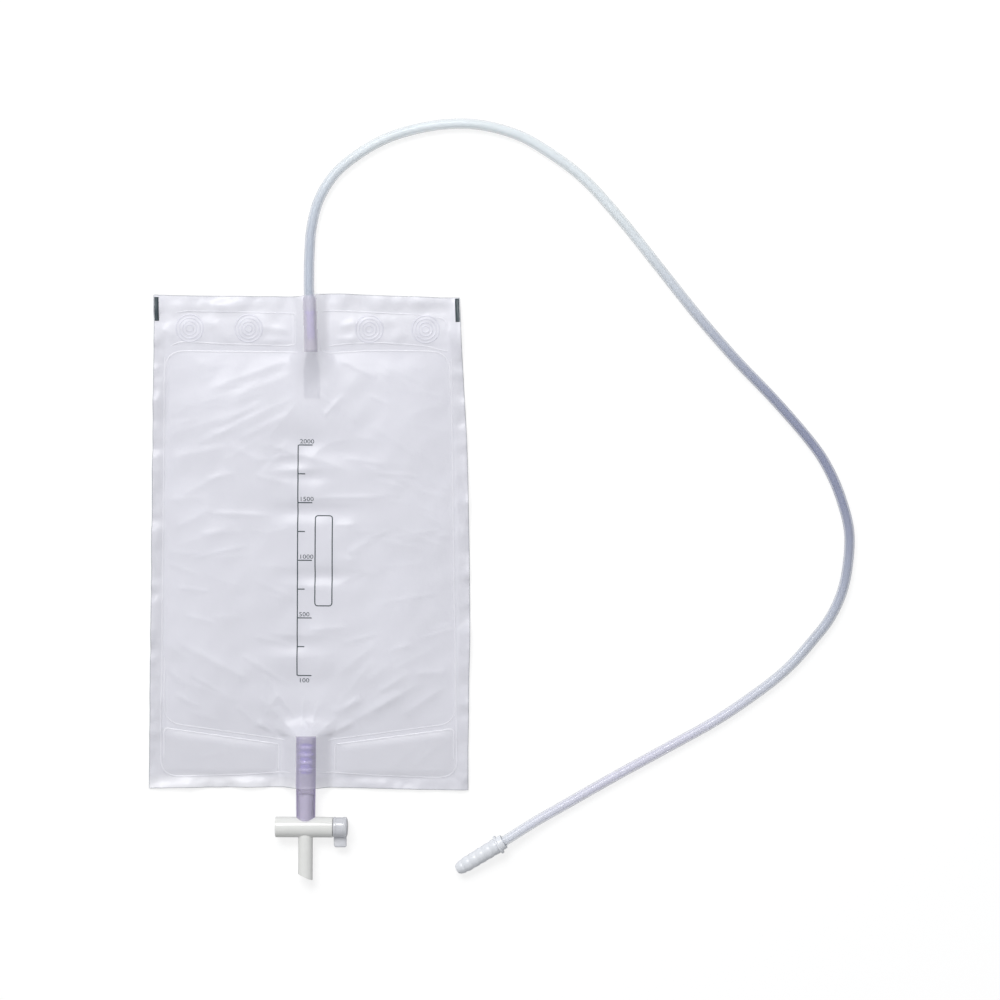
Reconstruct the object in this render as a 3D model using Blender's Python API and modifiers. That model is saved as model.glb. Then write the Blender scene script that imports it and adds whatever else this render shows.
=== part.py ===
"""Urine drainage bag, lying flat, in metres with +Z up.

The bag lies on its back film. +Y points to the end that hangs from a stand, +X to the head of the
tap's plunger. The origin is under the middle of the bag and its tap, on the surface they lie on.
"""

import math

import bmesh
import bpy
from mathutils import Matrix, Vector

# Gaps between neighbouring pieces
FIT = 0.0003
SEAL_GAP = 0.00015

# The two films
BAG_TOP_WIDTH = 0.196
BAG_BOTTOM_WIDTH = 0.204
BAG_HEIGHT = 0.315
FILM = 0.0003
SIDE_WELD = 0.007
TOP_WELD = 0.010
RING_BAND = 0.0212
CHAMBER_WELD = 0.004
BOTTOM_WELD = 0.0075
FUNNEL_SIDE = 0.0425
FUNNEL_CENTRE = 0.0295
CHAMBER_CROWN = 0.0062
CHAMBER_EASE = 0.046
POCKET_CROWN = 0.0016
POCKET_EASE = 0.012
FOLD_HEIGHT = 0.0007
FOLD_PITCH = 0.062
TENT_FADE = 0.042
PORT_END = 0.002

# Embossed hanging rings, by their distance from the bag's centre line
RING_PLACES = (-0.0763, -0.0386, 0.0385, 0.0746)
RING_RADII = (0.0044, 0.0066, 0.0087)
RING_RIDGE = 0.0003
RING_RIDGE_WIDTH = 0.0009

# Inlet: tube, sleeve, bush and flutter valve
TUBE_RADIUS = 0.0033
TUBE_GRIP = 0.0087
INLET_WALL = 0.0004
INLET_SLEEVE_LENGTH = 0.0344
INLET_SLEEVE_SET_BACK = 0.0007
BUSH_LENGTH = 0.0179
BUSH_COLLAR = 0.0022
BUSH_WAIST_RADIUS = 0.00265
BUSH_BORE = 0.0019
VALVE_FILM = 0.0002
VALVE_REACH = 0.030
VALVE_LUMEN = 0.0005
VALVE_REST_HEIGHT = 0.0018

# Outlet: sleeve and ribbed insert
OUTLET_RADIUS = 0.00625
OUTLET_END_RADIUS = 0.0060
OUTLET_WALL = 0.0009
OUTLET_INSIDE = 0.0338
INSERT_SET_BACK = 0.0044
INSERT_LENGTH = 0.0188
INSERT_RIBS = 4
INSERT_RIB_DEPTH = 0.0007
INSERT_BORE = 0.0033

# Tap
TAP_DROP = 0.0235
BARREL_RADIUS = 0.0065
BARREL_LEFT = 0.0192
BARREL_RIGHT = 0.0174
BARREL_BORE = 0.0046
BARREL_END_WALL = 0.003
VENT_RADIUS = 0.0008
SADDLE_GAP = 0.0009
SPIGOT_TOP = 0.0025
SPIGOT_BORE = 0.0030
SPIGOT_CHAMFER = 0.0007
DRAIN_RADIUS = 0.0046
DRAIN_BORE = 0.0032
DRAIN_REACH = 0.0337
DRAIN_SLANT = 0.0041

# Plunger
PLUNGER_TRAVEL = 0.010
SPOOL_RADIUS = 0.0043
GROOVE_RADIUS = 0.0026
GROOVE_WIDTH = 0.0068
SEAL_SECTION = 0.00045
SEAL_SEAT_DEPTH = 0.00095
SEAL_SEAT_WIDTH = 0.0014
SEAL_EDGE = 0.0012
HEAD_LENGTH = 0.0093
HEAD_RADIUS = 0.0065
HEAD_DOME = 0.0014
TAB_WIDTH = 0.0082
TAB_REACH = 0.0062
TAB_THICKNESS = 0.0026
TAB_ROUND = 0.0018

# Catheter connector, lying on its first rib and its flange
TIP_X = 0.0965
TIP_BELOW_BAG = 0.0507
CONNECTOR_HEADING = math.radians(32.2)
CONE_LENGTH = 0.0306
TIP_RADIUS = 0.0030
CONE_PROFILE = ((0.0, 0.0030), (0.15, 0.0044), (0.34, 0.0048), (1.0, 0.0051))
CONE_RIBS = 6
RIB_STEP = 0.00045
NOSE_SWELL = 0.0004
FLANGE_RADIUS = 0.0063
FLANGE_THICKNESS = 0.0013
COLLAR_LENGTH = 0.0033
COLLAR_WALL = 0.0011
TIP_BORE = 0.0017
SOCKET_DEPTH = 0.0080
LIFT = 0.0001

# Route of the tube, as distances from the bag's centre, from the top port to the connector
TUBE_TURN_POINTS = (
    (0.0000, 0.1720, 0.0041), (0.0001, 0.1819, 0.0036), (0.0014, 0.2010, 0.0034),
    (0.0062, 0.2195, 0.0034), (0.0164, 0.2359, 0.0034), (0.0311, 0.2483, 0.0034),
    (0.0478, 0.2580, 0.0034), (0.0659, 0.2641, 0.0034), (0.0851, 0.2676, 0.0034),
    (0.1046, 0.2679, 0.0034), (0.1238, 0.2642, 0.0034), (0.1416, 0.2570, 0.0034),
    (0.1731, 0.2352, 0.0034), (0.1992, 0.2072, 0.0034), (0.2233, 0.1774, 0.0034),
    (0.2473, 0.1475, 0.0034), (0.2726, 0.1187, 0.0034), (0.2992, 0.0911, 0.0034),
    (0.3241, 0.0620, 0.0034), (0.3340, 0.0456, 0.0034), (0.3412, 0.0278, 0.0034),
    (0.3457, 0.0092, 0.0034), (0.3452, -0.0101, 0.0034), (0.3416, -0.0289, 0.0034),
    (0.3337, -0.0464, 0.0034), (0.3220, -0.0617, 0.0034), (0.3094, -0.0760, 0.0034),
    (0.2949, -0.0887, 0.0034), (0.2636, -0.1107, 0.0034), (0.2302, -0.1296, 0.0034),
    (0.1967, -0.1482, 0.0034), (0.1635, -0.1673, 0.0036), (0.1468, -0.1767, 0.0050),
)
TUBE_POINTS = 58

# Roundness of turned pieces, and how far a cutter runs past the face it leaves
ROUND = 28
FINE_ROUND = 20
OVERCUT = 0.002

# Places that follow from the sizes above
TAP_BELOW_BAG = TAP_DROP + DRAIN_REACH
CENTRE_Y = TAP_BELOW_BAG / 2
TOP_Y = CENTRE_Y + BAG_HEIGHT / 2
BOTTOM_Y = CENTRE_Y - BAG_HEIGHT / 2
TOP_WELD_Y = TOP_Y - TOP_WELD
RING_Y = TOP_WELD_Y - RING_BAND / 2
BAND_BOTTOM_Y = TOP_WELD_Y - RING_BAND
CHAMBER_TOP_Y = BAND_BOTTOM_Y - CHAMBER_WELD
FLANGE_Z = FILM + FIT
TUBE_BORE = TUBE_RADIUS + FIT
INLET_RADIUS = TUBE_BORE + INLET_WALL
INLET_Z = FLANGE_Z + INLET_RADIUS
INLET_TOP_Y = TOP_Y - INLET_SLEEVE_SET_BACK
INLET_LOW_Y = INLET_TOP_Y - INLET_SLEEVE_LENGTH
BUSH_TOP_Y = INLET_TOP_Y - TUBE_GRIP - FIT
BUSH_LOW_Y = BUSH_TOP_Y - BUSH_LENGTH
OUTLET_Z = FLANGE_Z + OUTLET_RADIUS
OUTLET_TOP_Y = BOTTOM_Y + OUTLET_INSIDE
BARREL_Y = BOTTOM_Y - TAP_DROP
SADDLE_RADIUS = BARREL_RADIUS + SADDLE_GAP
SPIGOT_TOP_Y = BOTTOM_Y - SPIGOT_TOP
DRAIN_TIP_Y = BARREL_Y - DRAIN_REACH
BORE_END_X = BARREL_END_WALL - BARREL_LEFT
INLET_TENT = INLET_RADIUS + FIT + 0.0001
OUTLET_TENT = OUTLET_RADIUS + FIT + 0.0001
TENT_ANGLE = math.radians(60)


def clear_scene():
    for thing in list(bpy.data.objects):
        bpy.data.objects.remove(thing, do_unlink=True)


def collection(name):
    made = bpy.data.collections.new(name)
    bpy.context.scene.collection.children.link(made)
    return made


clear_scene()
PARTS = collection("urine_drainage_bag")
CUTTERS = collection("cutters")


def material(name, colour, roughness, transmission=0.0):
    made = bpy.data.materials.new(name)
    made.use_nodes = True
    shader = made.node_tree.nodes["Principled BSDF"]
    shader.inputs["Base Color"].default_value = (*colour, 1.0)
    shader.inputs["Roughness"].default_value = roughness
    shader.inputs["Metallic"].default_value = 0.0
    shader.inputs["Transmission Weight"].default_value = transmission
    made.diffuse_color = (*colour, 1.0)
    return made


def place(thing, paint, where=PARTS):
    """Moves an object into its collection and paints it."""
    for old in list(thing.users_collection):
        old.objects.unlink(thing)
    where.objects.link(thing)
    if paint is not None:
        thing.data.materials.clear()
        thing.data.materials.append(paint)
    return thing


def mesh_object(name, mesh_maker, paint, where=PARTS):
    """Makes an object from a function that fills a bmesh."""
    mesh = bpy.data.meshes.new(name)
    bm = bmesh.new()
    mesh_maker(bm)
    bm.to_mesh(mesh)
    bm.free()
    thing = bpy.data.objects.new(name, mesh)
    where.objects.link(thing)
    if paint is not None:
        mesh.materials.append(paint)
    return thing


def smooth(thing, angle=35):
    thing.data.shade_smooth()
    thing.data.set_sharp_from_angle(angle=math.radians(angle))
    return thing


def cut(thing, cutter, operation="DIFFERENCE"):
    """Cuts or joins with a hidden wire object, by an exact Boolean."""
    change = thing.modifiers.new(cutter.name, "BOOLEAN")
    change.object = cutter
    change.operation = operation
    change.solver = "EXACT"
    cutter.hide_render = True
    cutter.display_type = "WIRE"


def ease(distance, reach):
    """Rises from 0 to 1 over a distance, steep at first."""
    share = min(max(distance / reach, 0.0), 1.0)
    return math.sin(share * math.pi / 2)


def soft_step(value, start, end):
    share = min(max((value - start) / (end - start), 0.0), 1.0)
    return share * share * (3 - 2 * share)


def mix(a, b, share):
    return a + (b - a) * share


def turned(name, outline, paint, steps=ROUND, where=PARTS):
    """A closed (radius, height) outline turned about Z, running down its outer side."""
    mesh = bpy.data.meshes.new(name)
    on_axis = any(radius == 0 for radius, height in outline)
    last = len(outline) - 1
    edges = [(i, i + 1) for i in range(last)]
    if not on_axis:
        edges.append((last, 0))
    mesh.from_pydata([(radius, 0.0, height) for radius, height in outline], edges, [])
    thing = bpy.data.objects.new(name, mesh)
    where.objects.link(thing)
    if paint is not None:
        mesh.materials.append(paint)
    screw = thing.modifiers.new("turn", "SCREW")
    screw.steps = steps
    screw.render_steps = steps
    screw.use_merge_vertices = True
    screw.merge_threshold = 0.00001
    screw.use_smooth_shade = False
    return thing


def cylinder(name, radius, length, centre, along, steps=ROUND, where=CUTTERS, paint=None):
    """A cylinder about its centre, along a given direction."""
    bpy.ops.mesh.primitive_cylinder_add(vertices=steps, radius=radius, depth=length)
    thing = bpy.context.object
    thing.name = name
    thing.data.name = name
    thing.rotation_euler = Vector(along).to_track_quat("Z", "Y").to_euler()
    thing.location = centre
    return place(thing, paint, where)


def box(name, low, high, where=CUTTERS, paint=None):
    """A box between two corners, with its scale already applied."""
    size = [b - a for a, b in zip(low, high)]
    middle = [(a + b) / 2 for a, b in zip(low, high)]

    def fill(bm):
        bmesh.ops.create_cube(bm, size=1.0)
        bmesh.ops.scale(bm, vec=size, verts=bm.verts)

    thing = mesh_object(name, fill, paint, where)
    thing.location = middle
    return thing


# The films

def half_width(y):
    """Half the bag's width at a height up the bag."""
    share = (y - BOTTOM_Y) / BAG_HEIGHT
    return mix(BAG_BOTTOM_WIDTH, BAG_TOP_WIDTH, share) / 2


def funnel_y(x):
    """The weld that closes the chamber's lower end and slopes to the outlet."""
    share = min(abs(x) / (BAG_BOTTOM_WIDTH / 2 - SIDE_WELD), 1.0)
    return BOTTOM_Y + mix(FUNNEL_CENTRE, FUNNEL_SIDE, share)


def port_at(y):
    """Radius and centre height of the raised channel, from the outlet's to the inlet's."""
    share = (y - OUTLET_TOP_Y - PORT_END) / (INLET_LOW_Y - OUTLET_TOP_Y - 2 * PORT_END)
    share = min(max(share, 0.0), 1.0)
    radius = mix(OUTLET_TENT, INLET_TENT, share)
    centre = mix(OUTLET_Z, INLET_Z, share)
    return radius, centre


def tent_foot(y):
    """Half the width of the channel at the flange."""
    radius, centre = port_at(y)
    shoulder = centre + radius * math.cos(TENT_ANGLE) - FLANGE_Z
    return radius * math.sin(TENT_ANGLE) + shoulder / math.tan(TENT_ANGLE)


def tent_height(x, y):
    """Height above the flange of film that rides over a sleeve: round on top, straight sides."""
    radius, centre = port_at(y)
    foot = tent_foot(y)
    side = abs(x)
    if side >= foot - 1e-9:
        return 0.0
    if side <= radius * math.sin(TENT_ANGLE) + 1e-9:
        return centre + math.sqrt(radius * radius - side * side) - FLANGE_Z
    return (foot - side) * math.tan(TENT_ANGLE)


def tent_share(y):
    """1 over the sleeves, and less into the chamber past their ends."""
    top = soft_step(y, INLET_LOW_Y - TENT_FADE, INLET_LOW_Y - PORT_END)
    bottom = 1 - soft_step(y, OUTLET_TOP_Y + PORT_END, OUTLET_TOP_Y + TENT_FADE)
    return max(top, bottom)


def chamber_height(x, y):
    side = half_width(y) - SIDE_WELD - abs(x)
    rise = ease(side, CHAMBER_EASE)
    rise *= ease(CHAMBER_TOP_Y - y, CHAMBER_EASE)
    rise *= ease(y - funnel_y(x), CHAMBER_EASE)
    fold = math.sin(2 * math.pi * (y + 0.45 * abs(x)) / FOLD_PITCH)
    return rise * (CHAMBER_CROWN + FOLD_HEIGHT * fold)


def pocket_height(x, y):
    side = half_width(y) - SIDE_WELD - abs(x)
    rise = ease(side, POCKET_EASE)
    rise *= ease(abs(x) - tent_foot(y) - 0.006, POCKET_EASE)
    rise *= ease(funnel_y(x) - 0.002 - y, POCKET_EASE / 2)
    rise *= ease(y - BOTTOM_Y - BOTTOM_WELD, POCKET_EASE / 2)
    return rise * POCKET_CROWN


def front_height(x, y):
    """Height of the front film's inner face above the flange."""
    puff = chamber_height(x, y) + pocket_height(x, y)
    tent = tent_height(x, y) * tent_share(y)
    return (puff ** 4 + tent ** 4) ** 0.25


def film_rows():
    """Where the film's rows cross it: a function of x for each row, from the bottom edge up."""
    low_keys = [
        lambda x: BOTTOM_Y,
        lambda x: BOTTOM_Y + BOTTOM_WELD,
        lambda x: funnel_y(x) - 0.002,
        lambda x: funnel_y(x),
    ]
    rows = [low_keys[0], low_keys[1]]
    for share in (0.16, 0.5, 0.84):
        rows.append(lambda x, s=share: mix(low_keys[1](x), low_keys[2](x), s))
    rows += [low_keys[2], low_keys[3]]
    for share in (0.02, 0.05, 0.09, 0.14, 0.2, 0.28, 0.37, 0.46, 0.55, 0.64, 0.73, 0.8, 0.86, 0.91, 0.955, 0.985):
        rows.append(lambda x, s=share: mix(funnel_y(x), CHAMBER_TOP_Y, s))
    rows += [lambda x: CHAMBER_TOP_Y, lambda x: BAND_BOTTOM_Y, lambda x: TOP_WELD_Y, lambda x: TOP_Y]
    return rows


def film_columns(y):
    """Where the film's columns lie at a height up the bag, from left to right."""
    radius, centre = port_at(y)
    foot = tent_foot(y)
    weld = half_width(y) - SIDE_WELD
    right = [radius * math.sin(math.radians(angle)) for angle in (20, 40, 60)]
    right.append(foot)
    right += [mix(foot, weld, share) for share in (0.07, 0.2, 0.38, 0.58, 0.77, 0.92)]
    right += [weld, half_width(y)]
    return [-x for x in reversed(right)] + [0.0] + right


def make_film_grid(bm):
    """The front film's inner face, laid out along its welds."""
    rows = film_rows()
    across = len(film_columns(BOTTOM_Y))
    bmesh.ops.create_grid(bm, x_segments=across - 1, y_segments=len(rows) - 1, size=1.0)
    for vert in bm.verts:
        column = round((vert.co.x + 1) / 2 * (across - 1))
        row = round((vert.co.y + 1) / 2 * (len(rows) - 1))
        y = rows[row](0.0)
        x = film_columns(y)[column]
        y = rows[row](x)
        x = film_columns(y)[column]
        vert.co = (x, y, FLANGE_Z + front_height(x, y))


def make_sheet_grid(bm):
    """The back film's upper face, a plain trapezium."""
    bmesh.ops.create_grid(bm, x_segments=1, y_segments=1, size=1.0)
    for vert in bm.verts:
        y = TOP_Y if vert.co.y > 0 else BOTTOM_Y
        vert.co = (math.copysign(half_width(y), vert.co.x), y, 0.0)


def thicken(thing, thickness):
    shell = thing.modifiers.new("thickness", "SOLIDIFY")
    shell.thickness = thickness
    shell.offset = 1.0


def ring_outline():
    """Ridges pressed up out of the film, on a thin disc that lies inside its thickness."""
    sunk = FLANGE_Z + FILM / 3
    skin = FLANGE_Z + FILM * 2 / 3
    crest = FLANGE_Z + FILM + RING_RIDGE
    half = RING_RIDGE_WIDTH / 2
    points = []
    for radius in RING_RADII:
        points += [(radius - half, skin), (radius - half / 3, crest), (radius + half / 3, crest)]
        points.append((radius + half, skin))
    first = (RING_RADII[0] - 2 * half, sunk)
    last = (RING_RADII[-1] + half, sunk)
    return points + [last, first, (first[0], skin)]


def make_films(film_paint):
    back = mesh_object("back_film", make_sheet_grid, film_paint)
    thicken(back, FILM)
    front = mesh_object("front_film", make_film_grid, film_paint)
    thicken(front, FILM)
    for number, x in enumerate(RING_PLACES, 1):
        ring = turned(f"ring_relief_{number}", ring_outline(), film_paint, FINE_ROUND, CUTTERS)
        ring.location = (x, RING_Y, 0.0)
        cut(front, ring, "UNION")


# The inlet

def stand_along_y(thing, x, y, z):
    """Lays a turned piece along the bag, with its own +Z towards the hanging end."""
    thing.rotation_euler = (-math.pi / 2, 0.0, 0.0)
    thing.location = (x, y, z)


def make_inlet_sleeve(paint):
    outline = [
        (INLET_RADIUS, INLET_SLEEVE_LENGTH), (INLET_RADIUS, 0.0),
        (TUBE_BORE, 0.0), (TUBE_BORE, INLET_SLEEVE_LENGTH),
    ]
    sleeve = turned("inlet_sleeve", outline, paint)
    stand_along_y(sleeve, 0.0, INLET_LOW_Y, INLET_Z)


def make_valve_insert(paint):
    collar = TUBE_BORE - FIT
    outline = [
        (collar, BUSH_LENGTH), (collar, BUSH_LENGTH - BUSH_COLLAR),
        (BUSH_WAIST_RADIUS, BUSH_LENGTH - BUSH_COLLAR), (BUSH_WAIST_RADIUS, 0.0),
        (BUSH_BORE, 0.0), (BUSH_BORE, BUSH_LENGTH),
    ]
    insert = turned("valve_insert", outline, paint, FINE_ROUND)
    stand_along_y(insert, 0.0, BUSH_LOW_Y, INLET_Z)


def valve_ring(share_flat, outer, count):
    """One ring of the flutter valve: round where it grips the bush, a flat slot at its mouth."""
    grip = TUBE_BORE - FIT
    inset = 0.0 if outer else VALVE_FILM
    round_radius = grip - inset
    flat_half = math.pi * grip / 2 - inset
    slot_half = VALVE_LUMEN / 2 + VALVE_FILM - inset
    points = []
    for i in range(count):
        angle = 2 * math.pi * i / count
        across = math.cos(angle)
        up = math.sin(angle)
        wide = mix(round_radius, flat_half, share_flat)
        tall = mix(round_radius, slot_half, share_flat)
        points.append((wide * across, tall * up))
    return points


def make_flutter_valve(paint):
    """A film tube lofted from round to flat, open at both ends."""
    count = 16
    top = BUSH_TOP_Y - BUSH_COLLAR - FIT
    mouth = INLET_LOW_Y - VALVE_REACH
    stations = [top, BUSH_LOW_Y, INLET_LOW_Y]
    stations += [mix(INLET_LOW_Y, mouth, share) for share in (0.12, 0.26, 0.42, 0.7, 1.0)]

    def fill(bm):
        skins = []
        for outer in (True, False):
            rings = []
            for y in stations:
                flat = soft_step(INLET_LOW_Y - y, 0.0, 0.45 * VALVE_REACH)
                drop = soft_step(INLET_LOW_Y - y, 0.0, 0.8 * VALVE_REACH)
                z = mix(INLET_Z, VALVE_REST_HEIGHT, drop)
                ring = [bm.verts.new((x, y, z + up)) for x, up in valve_ring(flat, outer, count)]
                rings.append(ring)
            skins.append(rings)
        for rings in skins:
            for first, second in zip(rings, rings[1:]):
                bridge(bm, first, second)
        for end in (0, -1):
            bridge(bm, skins[0][end], skins[1][end])
        bmesh.ops.recalc_face_normals(bm, faces=bm.faces)

    smooth(mesh_object("flutter_valve", fill, paint), 50)


def bridge(bm, first, second):
    """Joins two rings of as many vertices by quads."""
    count = len(first)
    for i in range(count):
        after = (i + 1) % count
        bm.faces.new((first[i], first[after], second[after], second[i]))


# The outlet

def make_outlet_sleeve(paint):
    """A tapered sleeve whose lower end is scooped out to sit round the tap's barrel."""
    length = OUTLET_TOP_Y - BARREL_Y
    outline = [
        (OUTLET_RADIUS, length), (OUTLET_RADIUS, length - OUTLET_INSIDE), (OUTLET_END_RADIUS, 0.0),
        (OUTLET_END_RADIUS - OUTLET_WALL, 0.0), (OUTLET_RADIUS - OUTLET_WALL, length - OUTLET_INSIDE),
        (OUTLET_RADIUS - OUTLET_WALL, length),
    ]
    sleeve = turned("outlet_sleeve", outline, paint)
    stand_along_y(sleeve, 0.0, BARREL_Y, OUTLET_Z)
    saddle = cylinder(
        "saddle_cutter", SADDLE_RADIUS, 4 * OUTLET_RADIUS, (0.0, BARREL_Y, OUTLET_Z), (1, 0, 0), 40,
    )
    cut(sleeve, saddle)


def make_outlet_insert(paint):
    """A short stiff tube with square ribs round it."""
    rib = OUTLET_RADIUS - OUTLET_WALL - FIT
    core = rib - INSERT_RIB_DEPTH
    pitch = INSERT_LENGTH / INSERT_RIBS
    outline = []
    for i in range(INSERT_RIBS):
        top = INSERT_LENGTH - i * pitch
        outline += [(rib, top), (rib, top - 0.6 * pitch), (core, top - 0.7 * pitch)]
        if i < INSERT_RIBS - 1:
            outline.append((core, top - 0.9 * pitch))
    outline += [(core, 0.0), (INSERT_BORE, 0.0), (INSERT_BORE, INSERT_LENGTH)]
    insert = turned("outlet_insert", outline, paint, FINE_ROUND)
    stand_along_y(insert, 0.0, OUTLET_TOP_Y - INSERT_SET_BACK - INSERT_LENGTH, OUTLET_Z)


# The tap

def spigot_radius():
    """The spigot fits the narrow end of the outlet sleeve."""
    return OUTLET_END_RADIUS - OUTLET_WALL - FIT


def make_tap_body(paint):
    """A cross barrel, closed at its left end, with the upper spigot and the slanted drain."""
    centre = Vector((0.0, BARREL_Y, OUTLET_Z))
    middle_x = (BARREL_RIGHT - BARREL_LEFT) / 2
    body = cylinder(
        "tap_body", BARREL_RADIUS, BARREL_LEFT + BARREL_RIGHT, (middle_x, BARREL_Y, OUTLET_Z),
        (1, 0, 0), 36, PARTS, paint,
    )
    spigot = turned(
        "tap_spigot",
        [
            (0.0, SPIGOT_TOP_Y - BARREL_Y), (spigot_radius() - SPIGOT_CHAMFER, SPIGOT_TOP_Y - BARREL_Y),
            (spigot_radius(), SPIGOT_TOP_Y - BARREL_Y - SPIGOT_CHAMFER), (spigot_radius(), 0.0), (0.0, 0.0),
        ],
        paint, ROUND, CUTTERS,
    )
    stand_along_y(spigot, 0.0, BARREL_Y, OUTLET_Z)
    cut(body, spigot, "UNION")

    drain = cylinder(
        "tap_drain", DRAIN_RADIUS, DRAIN_REACH, centre - Vector((0, DRAIN_REACH / 2, 0)), (0, 1, 0),
        ROUND, CUTTERS, paint,
    )
    slant = math.atan2(DRAIN_SLANT, 2 * DRAIN_RADIUS)
    side = 4 * DRAIN_RADIUS
    blade = box("drain_blade", (-side, -2 * side, -side), (side, 0.0, side))
    turn = Matrix.Rotation(-slant, 4, "Z")
    high_edge = Vector((-DRAIN_RADIUS, DRAIN_TIP_Y + DRAIN_SLANT, OUTLET_Z))
    blade.matrix_world = Matrix.Translation(high_edge) @ turn @ Matrix.Translation((0, -side, 0))
    cut(drain, blade)
    cut(body, drain, "UNION")

    bore_end = BARREL_RIGHT + OVERCUT
    bore = cylinder(
        "barrel_bore", BARREL_BORE, bore_end - BORE_END_X,
        ((BORE_END_X + bore_end) / 2, BARREL_Y, OUTLET_Z), (1, 0, 0),
    )
    vent = cylinder(
        "barrel_vent", VENT_RADIUS, 3 * BARREL_END_WALL, (-BARREL_LEFT, BARREL_Y, OUTLET_Z), (1, 0, 0), 12,
    )
    up = SPIGOT_TOP_Y - BARREL_Y + OVERCUT
    upper = cylinder("upper_bore", SPIGOT_BORE, up, centre + Vector((0, up / 2, 0)), (0, 1, 0))
    down = DRAIN_REACH + OVERCUT
    lower = cylinder("lower_bore", DRAIN_BORE, down, centre - Vector((0, down / 2, 0)), (0, 1, 0))
    for cutter in (bore, vent, upper, lower):
        cut(body, cutter)


def seal_places():
    """Where the plunger's rings sit, as distances from the port along the plunger at rest."""
    left_end = BORE_END_X + FIT
    groove_centre = -PLUNGER_TRAVEL
    inner = left_end + SEAL_EDGE + SEAL_SEAT_WIDTH / 2
    middle = groove_centre + GROOVE_WIDTH / 2 + SEAL_EDGE + SEAL_SEAT_WIDTH / 2
    outer = DRAIN_BORE + SEAL_EDGE + SEAL_SEAT_WIDTH
    return {"inner": inner, "middle": middle, "outer": outer}


def make_plunger(paint, seal_paint):
    """A spool with ring seats and a flow groove, ending in a domed head with a finger tab."""
    seats = seal_places()
    seat_radius = SPOOL_RADIUS - SEAL_SEAT_DEPTH
    half_seat = SEAL_SEAT_WIDTH / 2
    left_end = BORE_END_X + FIT
    head_start = BARREL_RIGHT + FIT
    head_end = head_start + HEAD_LENGTH
    steps = [(seats["inner"], half_seat, seat_radius)]
    steps.append((-PLUNGER_TRAVEL, GROOVE_WIDTH / 2, GROOVE_RADIUS))
    steps += [(seats["middle"], half_seat, seat_radius), (seats["outer"], half_seat, seat_radius)]
    outline = [(0.0, head_end), (HEAD_RADIUS * 0.45, head_end - HEAD_DOME * 0.12)]
    outline += [(HEAD_RADIUS * 0.8, head_end - HEAD_DOME * 0.45), (HEAD_RADIUS, head_end - HEAD_DOME)]
    outline += [(HEAD_RADIUS, head_start), (SPOOL_RADIUS, head_start)]
    for place_x, half, radius in reversed(steps):
        outline += [(SPOOL_RADIUS, place_x + half), (radius, place_x + half)]
        outline += [(radius, place_x - half), (SPOOL_RADIUS, place_x - half)]
    outline += [(SPOOL_RADIUS, left_end), (0.0, left_end)]
    plunger = turned("tap_plunger", outline, paint)
    plunger.rotation_euler = (0.0, math.pi / 2, 0.0)
    plunger.location = (0.0, BARREL_Y, OUTLET_Z)

    tab_low = BARREL_Y - BARREL_RADIUS - TAB_REACH
    tab = box(
        "head_tab", (head_start, tab_low, OUTLET_Z - TAB_THICKNESS / 2),
        (head_start + TAB_WIDTH, BARREL_Y - HEAD_RADIUS / 2, OUTLET_Z + TAB_THICKNESS / 2), CUTTERS, paint,
    )
    corners = tab.modifiers.new("corners", "BEVEL")
    corners.width = min(TAB_ROUND, TAB_THICKNESS * 0.45)
    corners.segments = 2
    cut(plunger, tab, "UNION")

    def fill(bm):
        ring_radius = seat_radius + SEAL_GAP + SEAL_SECTION
        around = FINE_ROUND
        section = 6
        rings = []
        for i in range(around):
            turn = 2 * math.pi * i / around
            ring = []
            for j in range(section):
                angle = 2 * math.pi * j / section
                radius = ring_radius + SEAL_SECTION * math.cos(angle)
                spot = (SEAL_SECTION * math.sin(angle), radius * math.cos(turn), radius * math.sin(turn))
                ring.append(bm.verts.new(spot))
            rings.append(ring)
        for i in range(around):
            bridge(bm, rings[i], rings[(i + 1) % around])
        bmesh.ops.recalc_face_normals(bm, faces=bm.faces)

    for name, along in seats.items():
        seal = smooth(mesh_object(f"plunger_seal_{name}", fill, seal_paint), 60)
        seal.location = (along, BARREL_Y, OUTLET_Z)


# The connector and its tube

def cone_radius(share):
    """The taper's radius over its ribs, from the tip at 0 to the flange at 1."""
    for (start, first), (end, second) in zip(CONE_PROFILE, CONE_PROFILE[1:]):
        if share <= end:
            return mix(first, second, (share - start) / (end - start))
    return CONE_PROFILE[-1][1]


def rib_crests():
    """Each rib's crest, as its distance from the tip and its radius."""
    pitch = CONE_LENGTH / CONE_RIBS
    return [((i + 0.75) * pitch, cone_radius((i + 1) / CONE_RIBS)) for i in range(CONE_RIBS)]


def connector_pose():
    """The tip's centre and the direction to the rear, with one rib and the flange on the surface."""
    tilt = min(
        math.atan((FLANGE_RADIUS - radius) / (CONE_LENGTH - place)) for place, radius in rib_crests()
    )
    tip_z = LIFT + FLANGE_RADIUS * math.cos(tilt) - CONE_LENGTH * math.sin(tilt)
    tip = Vector((TIP_X, BOTTOM_Y - TIP_BELOW_BAG, tip_z))
    rear = Vector((
        math.cos(CONNECTOR_HEADING) * math.cos(tilt), math.sin(CONNECTOR_HEADING) * math.cos(tilt),
        math.sin(tilt),
    ))
    return tip, rear


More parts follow.
